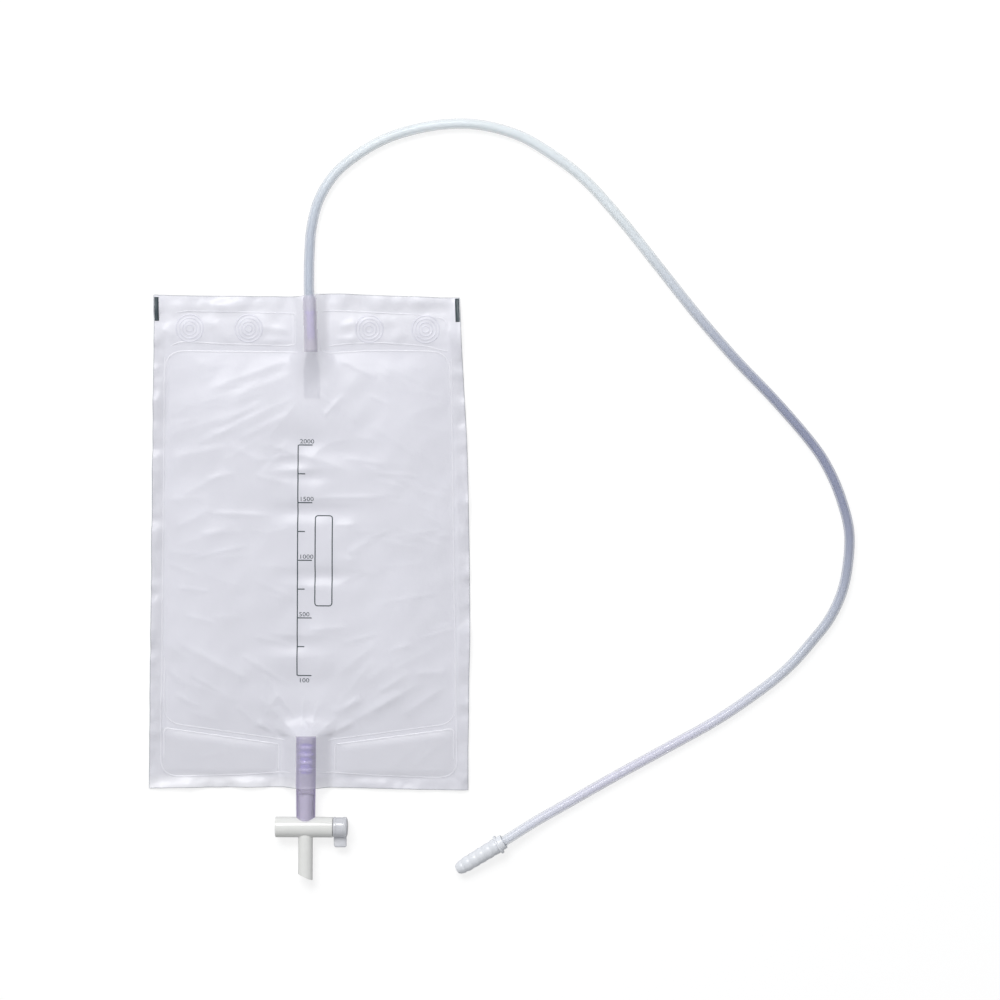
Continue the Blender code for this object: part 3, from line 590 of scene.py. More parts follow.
# Folds in the chamber's film, in tenths of a millimetre: start x and y, end x and y, height, half width
FOLDS = TENTH_MM * np.array((
    (-78, 1473, -618, 1271, 7.5, 28), (-85, 1377, -586, 1167, 6, 30), (-84, 1218, -696, 920, 7, 30),
    (-243, 1169, -880, 975, 5, 36), (-139, 1098, -425, 953, 5.5, 26), (-521, 897, -879, 823, 4.5, 34),
    (-505, 905, -281, 802, 4, 30), (-86, 1489, -364, 1376, 5, 20), (-890, 1421, -803, 1437, 3, 10),
    (-885, 1385, -795, 1405, 2.5, 10), (-795, 1500, -667, 1422, 5, 30), (165, 1474, 437, 1340, 7, 16),
    (437, 1340, 533, 1237, 3.5, 24), (412, 1483, 637, 1293, 4, 30), (390, 1228, 510, 1173, 4.5, 11),
    (222, 1227, 104, 1099, 7.5, 15), (692, 1389, 835, 1470, 4, 24), (630, 1094, 892, 1199, 3.5, 30),
    (43, 570, 468, 581, 5, 18), (-609, 473, -239, 460, 4.5, 18), (-456, 398, -826, 265, 3.5, 36),
    (263, 227, 404, 304, 4.5, 24), (-784, 592, -523, 735, 4, 30), (-850, 831, -546, 876, 3, 30),
    (-327, 714, -109, 661, 4.5, 24), (4, -275, 244, -252, 4, 26), (175, 401, 306, 402, 4, 16),
    (-801, -366, -386, -581, 4.5, 30), (-256, -809, -185, -680, 4.5, 24),
    (-312, -867, -140, -966, 6, 18), (-298, -712, -79, -906, 4.5, 26), (117, -964, 302, -849, 7.5, 22),
    (302, -849, 601, -676, 5.5, 30), (-12, -908, 59, -879, 4, 14), (181, -796, 355, -708, 4.5, 26),
    (463, -664, 648, -543, 4, 24), (616, -805, 901, -617, 4, 30),
))

# Folds in the lower pockets and in the ring band
POCKET_FOLDS = TENTH_MM * np.array((
    (689, -1133, 845, -1003, 3, 14), (560, -1130, 690, -1010, 1.8, 20),
    (-700, -1090, -520, -1050, 1.8, 20),
))
BAND_FOLDS = TENTH_MM * np.array((
    (200, 1665, 300, 1690, 7, 22), (180, 1590, 300, 1590, 6, 20), (-300, 1665, -120, 1640, 7, 24),
    (-280, 1575, -110, 1580, 5, 20), (-600, 1700, -520, 1580, 6, 30), (-930, 1650, -860, 1600, 6, 22),
    (530, 1720, 620, 1600, 5.5, 30), (870, 1700, 920, 1580, 4.5, 22), (-700, 1830, -520, 1790, 5.5, 22),
    (80, 1810, 260, 1800, 4.5, 18),
))

# Folds that run over the films' channel where it leaves the outlet sleeve
NECK_FOLDS = TENTH_MM * np.array((
    (-55, -950, 65, -865, 6, 10), (-20, -850, 55, -925, 5, 10), (-180, -840, -50, -935, 5, 13),
    (190, -830, 60, -940, 5, 13), (-10, -700, -35, -880, 4, 14), (80, -730, 40, -850, 4, 14),
))

# How far the cut edges stray from a straight outline at places along them, in tenths of a millimetre
SIDE_PLACES = (-1290, -1030, -840, -580, -330, 180, 690, 950, 1210, 1460, 1650, 1860)
RIGHT_STRAY = (12, 13, 18, 22, 31, 31, 26, 20, 7, -5, -12, -19)
LEFT_STRAY = (-14, -12, -12, -8, -8, -3, 0, 2, 4, 6, 6, 11)
TOP_PLACES = (-990, -800, -120, -60, 60, 140, 200, 330, 460, 710, 840, 970)
TOP_STRAY = (3, -1, -4, -3, 12, 17, 16, 11, 5, -1, -6, -4)
BOTTOM_PLACES = (-1010, -800, -550, -150, 150, 480, 730, 1020)
BOTTOM_STRAY = (2, 8, 11, 15, 14, 9, 4, 1)

CHAMBER_CROWN = 0.0042
CHAMBER_EASE = 0.045
POCKET_CROWN = 0.0012
POCKET_EASE = 0.012
BAND_CROWN = 0.0004

# Waves in the film, and how much stronger its folds are from the outlet up to the inlet
SHORT_WAVE = 0.00032
LONG_WAVE = 0.00055
POCKET_WAVE = 0.0002
BAND_WAVE = 0.0003
FOLD_GAIN_PLACES = (-0.060, 0.0, 0.085, 0.120)
FOLD_GAINS = (1.9, 1.5, 1.2, 0.65)

# The film's tent over a sleeve, and the curl of the welded edges
TENT_ANGLE = math.radians(46)
TENT_FOOT = 0.0012
TENT_CLEAR = 0.0001
FLANGE_GAP = 0.00006
PORT_HALF = 0.014
EDGE_CURL = 0.0033
CRUMPLE_HEIGHT = 0.00095

# Fine creases: how many, where, how long, high and wide, and the places they fan out from
CREASE_COUNT = 120
CREASE_SIDE = 0.088
CREASE_SPAN = (-0.088, 0.145)
CREASE_REACHES = (0.005, 0.018)
CREASE_HEIGHTS = (0.00009, 0.00032)
CREASE_WIDTHS = (0.0012, 0.0026)
UPPER_FAN_START = 0.040
UPPER_FAN_CENTRE = 0.175
LOWER_FAN_START = 0.010
LOWER_FAN_CENTRE = -0.120

# How the film's channel fades and widens past the sleeves
INLET_FADE = 0.016
OUTLET_FADE = 0.0080
CHANNEL_END = (0.030, 0.060)
WIDENING = 0.009


def ease(distance, reach):
    return np.sin(np.clip(distance / reach, 0.0, 1.0) * math.pi / 2)


def soft_step(value, start, end):
    share = np.clip((value - start) / (end - start), 0.0, 1.0)
    return share * share * (3 - 2 * share)


def stray(places, strays, where):
    """How far a cut edge strays from its straight line, from values at a few places along it."""
    return TENTH_MM * np.interp(where / TENTH_MM, places, strays)


def half_width(y, x):
    """Distance from the middle line to the cut edge on the side that x is on."""
    share = (y - BOTTOM_Y) / BAG_HEIGHT
    straight = (BAG_BOTTOM_WIDTH + (BAG_TOP_WIDTH - BAG_BOTTOM_WIDTH) * share) / 2
    right = stray(SIDE_PLACES, RIGHT_STRAY, y)
    left = stray(SIDE_PLACES, LEFT_STRAY, y)
    return straight + np.where(np.asarray(x) > 0, right, left)


def end_shift(x, y):
    """How far the upper and lower cut edges stray along the bag."""
    top = stray(TOP_PLACES, TOP_STRAY, x) * soft_step(y, TOP_WELD_Y - 0.004, TOP_Y)
    bottom = stray(BOTTOM_PLACES, BOTTOM_STRAY, x) * (1 - soft_step(y, BOTTOM_Y, BOTTOM_Y + 0.013))
    return top + bottom


def funnel_y(x):
    share = np.clip(np.abs(x) / (BAG_BOTTOM_WIDTH / 2 - SIDE_WELD), 0.0, 1.0)
    return BOTTOM_Y + FUNNEL_CENTRE + (FUNNEL_SIDE - FUNNEL_CENTRE) * share


def ripples(x, y, seed, shortest, longest, count=9):
    """A smooth random field between about -1 and 1, made of waves in all directions."""
    chance = random.Random(seed)
    total = np.zeros_like(x)
    for _ in range(count):
        length = chance.uniform(shortest, longest)
        turn = chance.uniform(0, math.pi)
        phase = chance.uniform(0, 2 * math.pi)
        along = x * math.cos(turn) + y * math.sin(turn)
        total += np.cos(2 * math.pi * along / length + phase)
    return total * 1.3 / count


def folds_height(x, y, folds):
    """Creases with a narrow crest that fade at both ends."""
    total = np.zeros_like(x)
    for x1, y1, x2, y2, height, width in folds:
        long = math.hypot(x2 - x1, y2 - y1)
        dx = (x2 - x1) / long
        dy = (y2 - y1) / long
        along = (x - x1) * dx + (y - y1) * dy
        aside = (y - y1) * dx - (x - x1) * dy
        fade = np.sqrt(np.clip(np.sin(np.clip(along / long, -0.12, 1.12) * math.pi / 1.24 + 0.304), 0.0, 1.0))
        fade *= soft_step(along, -0.12 * long, 0.1 * long) * (1 - soft_step(along, 0.9 * long, 1.12 * long))
        crest = np.exp(-(np.sqrt(aside ** 2 + (0.35 * width) ** 2) - 0.35 * width) / width)
        total = np.maximum(total, height * crest * fade)
    return total


def small_creases():
    """Many fine creases: they fan out from both ports and run across in between."""
    chance = random.Random(41)
    low, high = CREASE_SPAN
    made = []
    while len(made) < CREASE_COUNT:
        x = chance.uniform(-CREASE_SIDE, CREASE_SIDE)
        y = chance.uniform(low, high)
        if abs(x) < 0.006:
            continue
        fan = max(0.0, (y - UPPER_FAN_START) / (high - UPPER_FAN_START))
        fan = max(fan, (LOWER_FAN_START - y) / (LOWER_FAN_START - low))
        middle_y = UPPER_FAN_CENTRE if y > UPPER_FAN_START else LOWER_FAN_CENTRE
        across = 0.0 if x > 0 else math.pi
        share = min(1.0, 0.8 * fan)
        turn = across + (math.atan2(y - middle_y, x) - across + math.pi) % (2 * math.pi) * share
        turn += chance.gauss(0.0, 0.22) - math.pi * share
        reach = chance.uniform(*CREASE_REACHES)
        dx = reach * math.cos(turn)
        dy = reach * math.sin(turn)
        height = chance.uniform(*CREASE_HEIGHTS)
        made.append((x - dx, y - dy, x + dx, y + dy, height, chance.uniform(*CREASE_WIDTHS)))
    return made


def port_at(y):
    """Radius and centre height of the film's channel over the two sleeves."""
    share = np.clip((y - OUTLET_HIGH.y) / (INLET_LOW.y - OUTLET_HIGH.y), 0.0, 1.0)
    clear = FIT + TENT_CLEAR
    radius = (OUTLET_RADIUS + clear) * (1 - share) + (INLET_RADIUS + clear) * share
    centre = OUTLET_Z * (1 - share) + INLET_Z * share
    return radius, centre


def tent_height(x, y, base):
    """Film that wraps a sleeve: round on top, steep sides and a soft foot."""
    radius, centre = port_at(y)
    side = np.abs(x - lean(y) * (y > CENTRE_Y))
    on_top = radius * math.sin(TENT_ANGLE)
    shoulder = centre + radius * math.cos(TENT_ANGLE) - base
    line = shoulder - (side - on_top) * math.tan(TENT_ANGLE)
    skirt = TENT_FOOT * np.log1p(np.exp(np.clip(line / TENT_FOOT, -40, 40)))
    crown = centre + np.sqrt(np.clip(radius ** 2 - side ** 2, 0.0, None)) - base
    return np.where(side <= on_top, crown, skirt)


def past_sleeves(y):
    """Distance past the inner end of the nearer sleeve, and 1 on the inlet's half of the bag."""
    upper = np.asarray(y) > CENTRE_Y
    past = np.where(upper, INLET_LOW.y - y, y - OUTLET_HIGH.y)
    return np.clip(past, 0.0, None), upper


def channel(x, y, base):
    """The film's channel over the sleeves: past their inner ends it sinks and widens."""
    past, upper = past_sleeves(y)
    fade = np.exp(-past / np.where(upper, INLET_FADE, OUTLET_FADE)) * (1 - soft_step(past, *CHANNEL_END))
    middle = lean(y) * upper
    wide = 1 + past / WIDENING
    return tent_height((x - middle) / wide + middle, y, base) * fade


def lift(x, y):
    """How far both films curl up together from the surface along their welded edges."""
    side = soft_step(np.abs(x), half_width(y, x) - SIDE_WELD - 0.004, half_width(y, x))
    top = soft_step(y, TOP_WELD_Y - 0.006, TOP_Y)
    bottom = 1 - soft_step(y, BOTTOM_Y, BOTTOM_Y + BOTTOM_WELD + 0.003)
    edge = np.maximum(np.maximum(side, top), bottom)
    band = soft_step(y, BAND_BOTTOM_Y - 0.001, BAND_BOTTOM_Y + 0.004) * 0.5
    off_port = soft_step(np.abs(x), PORT_HALF, PORT_HALF + 0.012)
    curl = np.clip(ripples(x, y, 5, 0.020, 0.050) + 0.35, 0.0, None)
    crumple = np.clip(ripples(x, y, 11, 0.009, 0.024) + 0.4, 0.0, None)
    return off_port * (EDGE_CURL * edge * curl + CRUMPLE_HEIGHT * np.maximum(edge, band) * crumple)


def inside_welds(x, y):
    """Distance from the inner edge of the side weld, above 0 between the two welds."""
    return half_width(y, x) - SIDE_WELD - np.abs(x)


def chamber_rise(x, y):
    rise = ease(inside_welds(x, y), CHAMBER_EASE) * ease(CHAMBER_TOP_Y - y, CHAMBER_EASE)
    return rise * ease(y - funnel_y(x), CHAMBER_EASE)


def pocket_rise(x, y):
    rise = ease(inside_welds(x, y), POCKET_EASE) * ease(np.abs(x) - POCKET_START - 0.0005, POCKET_EASE)
    rise = rise * ease(funnel_y(x) - FUNNEL_WELD - y, POCKET_EASE / 2)
    return rise * ease(y - BOTTOM_Y - BOTTOM_WELD, POCKET_EASE / 2)


def band_rise(x, y):
    rise = ease(inside_welds(x, y), POCKET_EASE) * ease(np.abs(x) - BAND_START, POCKET_EASE)
    return rise * ease(TOP_WELD_Y - y, POCKET_EASE / 2) * ease(y - BAND_BOTTOM_Y, POCKET_EASE / 2)


def puff(x, y):
    """How far the front film stands off the back one, sleeves apart."""
    rise = chamber_rise(x, y)
    sag = np.zeros_like(x)
    for cx, cy, rx, ry, depth in DENTS:
        sag = np.maximum(sag, 1.3 * depth * np.exp(-0.5 * (((x - cx) / rx) ** 2 + ((y - cy) / ry) ** 2)))
    body = CHAMBER_CROWN * rise * (1 - sag)
    near = np.clip(rise * 4, 0.0, 1.0)
    folded = folds_height(x, y, FOLDS) + folds_height(x, y, small_creases())
    body += near * folded * np.interp(y, FOLD_GAIN_PLACES, FOLD_GAINS)
    body += near * SHORT_WAVE * ripples(x, y, 3, 0.014, 0.036)
    body += near * LONG_WAVE * ripples(x, y, 7, 0.045, 0.090)
    body += pocket_rise(x, y) * (POCKET_CROWN + POCKET_WAVE * ripples(x, y, 21, 0.014, 0.030))
    body += folds_height(x, y, POCKET_FOLDS)
    body += band_rise(x, y) * (BAND_CROWN + BAND_WAVE * ripples(x, y, 17, 0.012, 0.030))
    return np.clip(body, 0.0, None)


def back_top(x, y):
    return FILM + lift(x, y)


def front_inner(x, y):
    """Height of the front film's inner face."""
    base = back_top(x, y) + FLANGE_GAP
    tent = channel(x, y, base)
    rest = puff(x, y) + folds_height(x, y, BAND_FOLDS)
    return base + (rest ** 4 + tent ** 4) ** 0.25 + folds_height(x, y, NECK_FOLDS)


def front_outer(x, y):
    return front_inner(x, y) + FILM


def weld_mask(x, y):
    """1 where the films lie flat on each other and look greyer, 0 elsewhere."""
    soft = 0.0007
    flange = 1 - soft_step(inside_welds(x, y), -soft, soft)
    flange = flange * (1 - 0.6 * soft_step(y, TOP_WELD_Y - 0.02, TOP_WELD_Y + soft))
    weld_top = BOTTOM_Y + BOTTOM_WELD
    flange = np.maximum(flange, 1 - soft_step(y, weld_top - soft, weld_top + soft))
    pocket = soft_step(funnel_y(x) - y, FUNNEL_WELD - soft, FUNNEL_WELD + soft)
    pocket = pocket * soft_step(np.abs(x), POCKET_START - soft, POCKET_START + soft)
    return np.maximum(flange, pocket)


def columns(step):
    """Column positions from left to right: a fixed part, and a share of what is left to the edge."""
    near = max(round(PORT_HALF / (0.42 * step)), 4)
    far = max(round((BAG_TOP_WIDTH / 2 - PORT_HALF) / step), 4)
    fixed = [*(PORT_HALF * np.arange(1, near + 1) / near), *[PORT_HALF] * far]
    share = [*[0.0] * near, *(np.arange(1, far + 1) / far)]
    return [np.array([-v for v in reversed(half)] + [0.0] + half) for half in (fixed, share)]


def over_ports(x, y):
    """Where the front film clings to a sleeve and is seen through."""
    inlet = (np.abs(x - lean(y)) < INLET_RADIUS + 0.0004) & (y > INLET_LOW.y - 0.0005)
    outlet = (np.abs(x) < OUTLET_RADIUS + 0.0003) & (y < OUTLET_HIGH.y + 0.0005)
    return inlet | outlet


def film_sheet(name, step, height):
    """A film over the whole bag, as a grid that follows a height, and which of its faces lie on ports."""
    fixed, share = columns(step)
    ys = np.linspace(BOTTOM_Y, TOP_Y, round(BAG_HEIGHT / step) + 1)
    y = np.repeat(ys[:, None], len(fixed), axis=1)
    x = fixed + share * (half_width(y, share) - PORT_HALF)
    verts = np.stack([x, y + end_shift(x, y), height(x, y)], axis=2).reshape(-1, 3)
    index = np.arange(len(verts)).reshape(y.shape)
    quads = np.stack([index[:-1, :-1], index[:-1, 1:], index[1:, 1:], index[1:, :-1]], axis=2)
    thing = mesh_piece(name, verts.tolist(), quads.reshape(-1, 4).tolist(), 180)
    layer = thing.data.attributes.new("weld", "FLOAT", "POINT")
    layer.data.foreach_set("value", weld_mask(x, y).ravel().astype(np.float32))
    on_port = over_ports((x[:-1, :-1] + x[1:, 1:]) / 2, (y[:-1, :-1] + y[1:, 1:]) / 2)
    return thing, on_port.ravel().astype(np.int32)


FILM_STEP = 0.00112
front, port_zone = film_sheet("front_film_fine", FILM_STEP, front_outer)
finish_piece(front, FRONT_FILM_PAINT, "bag", "clear_film", "front_film")
front.data.materials.append(PORT_FILM_PAINT)
front.data.polygons.foreach_set("material_index", port_zone)
back, _ = film_sheet("back_film_fine", 1.5 * FILM_STEP, back_top)
finish_piece(back, BACK_FILM_PAINT, "bag", "clear_film", "back_film")


# What is pressed into or printed on the front film

bpy.context.view_layer.update()
FRONT_TREE = BVHTree.FromObject(front, bpy.context.evaluated_depsgraph_get())
RAY_START = 0.05


def on_film(x, y):
    """The point of the front film's outer face over a place, and its normal."""
    return FRONT_TREE.ray_cast(Vector((x, y, RAY_START)), Vector((0, 0, -1)))[:2]


EDGE_SIZE = 0.00028
RIDGE_WIDTH = 0.0011
RIDGE_SINK = 0.00010

# Pressed lines along the top weld and round the ring band: corners and how round they are
TOP_LINES = (
    (((-0.0925, 0.1250), (-0.0918, CHAMBER_TOP_Y), (-0.0070, CHAMBER_TOP_Y - 0.0005)), 0.017),
    ((
        (0.0066, 0.1545), (0.0080, 0.1516), (0.0115, 0.1501), (0.0160, 0.1502), (0.0420, 0.1519),
        (0.0900, 0.1512), (0.0905, 0.1250),
    ), 0.021),
    ((
        (-0.0887, 0.1539), (-0.0850, 0.1556), (-0.0810, 0.1568), (-0.0524, 0.1554), (-0.0142, 0.1545),
        (-0.0086, 0.1552), (-0.0086, 0.1752), (-0.0300, 0.1757), (-0.0780, 0.1763), (-0.0860, 0.1752),
    ), 0.0022),
    ((
        (0.0893, 0.1524), (0.0871, 0.1516), (0.0739, 0.1549), (0.0468, 0.1567), (0.0277, 0.1562),
        (0.0120, 0.1545),
    ), 0.0040),
    ((
        (0.0076, 0.1752), (0.0100, 0.1768), (0.0180, 0.1771), (0.0339, 0.1764), (0.0698, 0.1748),
        (0.0870, 0.1722), (0.0885, 0.1660),
    ), 0.0040),
)


def make_ridges(name, paths, closed_loop, height, paint, sides=8):
    """Rounded ridges that follow the film, as one piece: closed loops, or lines with thin ends."""
    verts = []
    faces = []
    for path in paths:
        spots, normals = zip(*[on_film(x, y) for x, y in path])
        rings = []
        for i, (spot, normal) in enumerate(zip(spots, normals)):
            side = heading(spots, i, closed_loop).cross(normal).normalized()
            taper = 1.0 if closed_loop else min(1.0, 0.25 + 0.25 * min(i, len(spots) - 1 - i))
            ring = []
            for across, rise in circle(1.0, sides):
                high = height * rise if rise > 0 else RIDGE_SINK * rise
                ring.append(spot + side * (RIDGE_WIDTH / 2 * across * taper) + normal * high * taper)
            rings.append(ring)
        more_verts, more_faces = loft(rings, closed_loop, not closed_loop, first=len(verts))
        verts += more_verts
        faces += more_faces
    finish_piece(mesh_piece(name, verts, faces, 60), paint, "bag", "clear_film")


def film_edge():
    """A dark fine ridge along the outline of the welded films, painted shade for the shadow and dark
    refraction at their cut edge; it thins out over the ports.
    """
    spots = [vert.co for vert in front.data.vertices]
    grid = np.arange(len(spots)).reshape(-1, len(columns(FILM_STEP)[0]))
    loop = [*grid[0], *grid[1:, -1], *grid[-1, -2::-1], *grid[-2:0:-1, 0]]
    outline = [spots[v] for v in loop]
    sizes = [EDGE_SIZE * (0.3 + 0.7 * float(soft_step(abs(p.x), 0.004, 0.010))) for p in outline]
    points = [p - Vector((0.0, 0.0, size)) for p, size in zip(outline, sizes)]
    rings = sweep(points, [circle(size, 6) for size in sizes], True)
    edge = mesh_piece("film_edge", *loft(rings, True), 60)
    finish_piece(edge, EDGE_SHADE_PAINT, "bag", "clear_film")


def path_through(corners, radius=0.0, step=0.0011):
    """Evenly spaced points along a line with rounded corners."""
    points = [Vector(c) for c in corners]
    line = [points[0]]
    for before, spot, after in zip(points, points[1:], points[2:]):
        line += corner_arc(before, spot, after, radius, 0.49, 12)
    line.append(points[-1])
    spaced = distances(line)
    count = max(round(spaced[-1] / step), 2)
    places = np.arange(count + 1) * spaced[-1] / count
    return list(zip(*(np.interp(places, spaced, [p[axis] for p in line]) for axis in (0, 1))))


def side_x(y, sign):
    return sign * (float(half_width(y, sign)) - SIDE_WELD)


def weld_paths():
    """The pressed lines along the edges of the welds."""
    low = BOTTOM_Y + BOTTOM_WELD
    lines = []
    for sign in (-1, 1):
        high = CHAMBER_TOP_Y - 0.004
        lines.append(([
            (side_x(high, sign), high), (side_x(low, sign), low),
            (sign * 0.050, low + 0.0011), (sign * 0.0095, low + 0.0036),
        ], 0.0125))
        inner = side_x(0.0, sign) - sign * 0.0016
        lines.append(([
            (inner, -0.045), (inner, float(funnel_y(inner))), (sign * 0.0135, float(funnel_y(0.0135))),
        ], 0.011))
        outer = side_x(low, sign) - sign * 0.0022
        start = (sign * POCKET_START, float(funnel_y(POCKET_START)) - FUNNEL_WELD)
        lines.append(([start, (outer, float(funnel_y(outer)) - FUNNEL_WELD), (outer, low + 0.0120)], 0.0030))
        lines.append(([start, (sign * POCKET_START, low + 0.0042)], 0.0))
    return [path_through(corners, radius) for corners, radius in (*lines, *TOP_LINES)]


def ring_paths():
    """The four pressed hanging rings, each of four ridges."""
    paths = []
    for x in RING_PLACES:
        for radius in RING_RADII:
            steps = max(round(2 * math.pi * radius / 0.0009), 16)
            paths.append([(x + dx, RING_Y + dy) for dx, dy in circle(radius, steps)])
    return paths


make_ridges("weld_lines", weld_paths(), False, 0.00012, WELD_PAINT)
make_ridges("hanging_rings", ring_paths(), True, 0.00016, RING_PAINT)
film_edge()


# The print

SCALE_X = -0.0063
SCALE_TOP = 0.0911
SCALE_STEP = 0.0368
SCALE_MARKS = (2000, 1500, 1000, 500, 100)
MAJOR_TICK = 0.0092
MINOR_TICK = 0.0046
LINE_WIDTH = 0.0007
DIGIT_HEIGHT = 0.0028
DIGIT_STRETCH = 1.2
DIGIT_SHARE = 0.72
DIGIT_START = 0.0009
DIGIT_ABOVE = 0.0010
DIGIT_BELOW = 0.0016
INK_LIFT = 0.00006
INK_THICKNESS = 0.00002
PRINT_STEP = 0.0008
PANEL_LOW = (0.0049, -0.0115)
PANEL_HIGH = (0.0158, 0.0460)
PANEL_ROUND = 0.0020
CORNER_MARK_LENGTH = 0.0150
CORNER_MARK_WIDTH = 0.0026
CORNER_MARK_INSET = 0.62 * CORNER_MARK_WIDTH
CORNER_MARK_LIFT = 0.0003


def print_lines(name, paths, width, closed_loop=False, clear=INK_LIFT):
    """Flat printed lines that follow the film, as one thin piece."""
    verts = []
    faces = []
    for path in paths:
        points = [Vector(p) for p in path]
        rows = []
        for i, point in enumerate(points):
            along = heading(points, i, closed_loop)
            rows.append((len(verts), len(verts) + 1))
            for aside in (-width / 2, width / 2):
                spot, normal = on_film(point.x + aside * along.y, point.y - aside * along.x)
                verts.append(spot + normal * clear)
        if closed_loop:
            rows.append(rows[0])
        faces += [(*one, *reversed(two)) for one, two in zip(rows, rows[1:])]
    printed(name, verts, faces)


def printed(name, verts, faces):
    thing = mesh_piece(name, verts, faces, 60)
    shell = thing.modifiers.new("ink", "SOLIDIFY")
    shell.thickness = INK_THICKNESS
    shell.offset = 0.0
    return finish_piece(thing, INK_PAINT, "bag", None)


def make_scale():
    bottom = SCALE_TOP - SCALE_STEP * (len(SCALE_MARKS) - 1)
    lines = [((SCALE_X, SCALE_TOP), (SCALE_X, bottom))]
    for i in range(2 * len(SCALE_MARKS) - 1):
        y = SCALE_TOP - SCALE_STEP * i / 2
        reach = MINOR_TICK if i % 2 else MAJOR_TICK
        lines.append(((SCALE_X + LINE_WIDTH / 2, y), (SCALE_X + reach, y)))
    print_lines("print_scale", [path_through(line, step=PRINT_STEP) for line in lines], LINE_WIDTH)


def make_panel():
    """A blank writing panel, outlined."""
    (x1, y1), (x2, y2) = PANEL_LOW, PANEL_HIGH
    start = (x1, (y1 + y2) / 2)
    corners = [start, (x1, y2), (x2, y2), (x2, y1), (x1, y1), start]
    print_lines("print_panel", [path_through(corners, PANEL_ROUND, PRINT_STEP)[:-1]], LINE_WIDTH, True)


def evaluated_mesh(thing):
    """A new mesh of an object as it looks with its modifiers."""
    bpy.context.view_layer.update()
    return bpy.data.meshes.new_from_object(thing.evaluated_get(bpy.context.evaluated_depsgraph_get()))


def make_numbers():
    verts = []
    faces = []
    for i, mark in enumerate(SCALE_MARKS):
        curve = bpy.data.curves.new("digits", "FONT")
        curve.body = str(mark)
        curve.size = DIGIT_HEIGHT / DIGIT_SHARE
        curve.resolution_u = 3
        text = new_object("digits", curve)
        mesh = evaluated_mesh(text)
        below = i == len(SCALE_MARKS) - 1
        y = SCALE_TOP - SCALE_STEP * i + (-DIGIT_HEIGHT - DIGIT_BELOW if below else DIGIT_ABOVE)
        faces += [tuple(len(verts) + v for v in face.vertices) for face in mesh.polygons]
        for vert in mesh.vertices:
            spot, normal = on_film(SCALE_X + DIGIT_START + vert.co.x * DIGIT_STRETCH, y + vert.co.y)
            verts.append(spot + normal * INK_LIFT)
        bpy.data.objects.remove(text)
        bpy.data.meshes.remove(mesh)
    printed("print_numbers", verts, faces)


def make_corner_marks():
    """Black register bars at the two upper corners."""
    high = TOP_Y - 0.0010
    paths = []
    for sign in (-1, 1):
        ends = [
            (sign * (float(half_width(y, sign)) - CORNER_MARK_INSET), y)
            for y in (high, high - CORNER_MARK_LENGTH)
        ]
        paths.append(path_through(ends, step=PRINT_STEP))
    print_lines("corner_marks", paths, CORNER_MARK_WIDTH, clear=CORNER_MARK_LIFT)


make_scale()
make_panel()
make_numbers()
make_corner_marks()


# The ports

BUSH_WAIST = 0.00265
BUSH_BORE = 0.0019
BUSH_HEAD = 0.0022
BUSH_BEADS = (0.011, 0.006)
VALVE_REST = 0.0018
VALVE_SLOT = 0.00045
VALVE_WAVE = 0.00016


def along_bag(thing, y, z):
    """Lays a turned piece along the bag, its own +Z towards the hanging end."""
    thing.data.transform(Matrix.Translation((0.0, y, z)) @ Matrix.Rotation(-math.pi / 2, 4, "X"))
    return thing


def lean_piece(thing):
    """Leans a piece of the inlet with the others."""
    for vert in thing.data.vertices:
        vert.co.x += float(lean(vert.co.y))
    return thing


def make_inlet_sleeve():
    length = INLET_HIGH.y - INLET_LOW.y
    bore = TUBE_RADIUS + FIT
    lip = (INLET_RADIUS - bore) * 0.45
    corners = [(INLET_RADIUS, length), (INLET_RADIUS, 0.0), (bore, 0.0), (bore, length)]
    outline = rounded(corners, (lip,) * 4, 3)
    sleeve = lean_piece(along_bag(turned("inlet_sleeve_fine", outline), INLET_LOW.y, INLET_Z))
    finish_piece(sleeve, INLET_PAINT, "bag", "lavender_sleeve", "inlet_sleeve")


def make_bush():
    """The inlet's bush, a stiff tube with a head and two beads."""
    length = BUSH_HIGH.y - BUSH_LOW.y
    collar = (BUSH_HIGH.x - BUSH_LOW.x) / 2
    neck = length - BUSH_HEAD
    corners = [(collar, length), (collar, neck), (BUSH_WAIST, neck)]
    for place in BUSH_BEADS:
        corners += [
            (BUSH_WAIST, place + 0.0006), (BUSH_WAIST + 0.0003, place), (BUSH_WAIST, place - 0.0006),
        ]
    corners += [(BUSH_WAIST, 0.0), (BUSH_BORE, 0.0), (BUSH_BORE, length)]
    outline = rounded(corners, [0.0003] * len(corners), 3)
    bush = lean_piece(along_bag(turned("valve_insert_fine", outline, 48), BUSH_LOW.y, INLET_Z))
    finish_piece(bush, INSERT_PAINT, "bag", "purple_insert", "valve_insert")


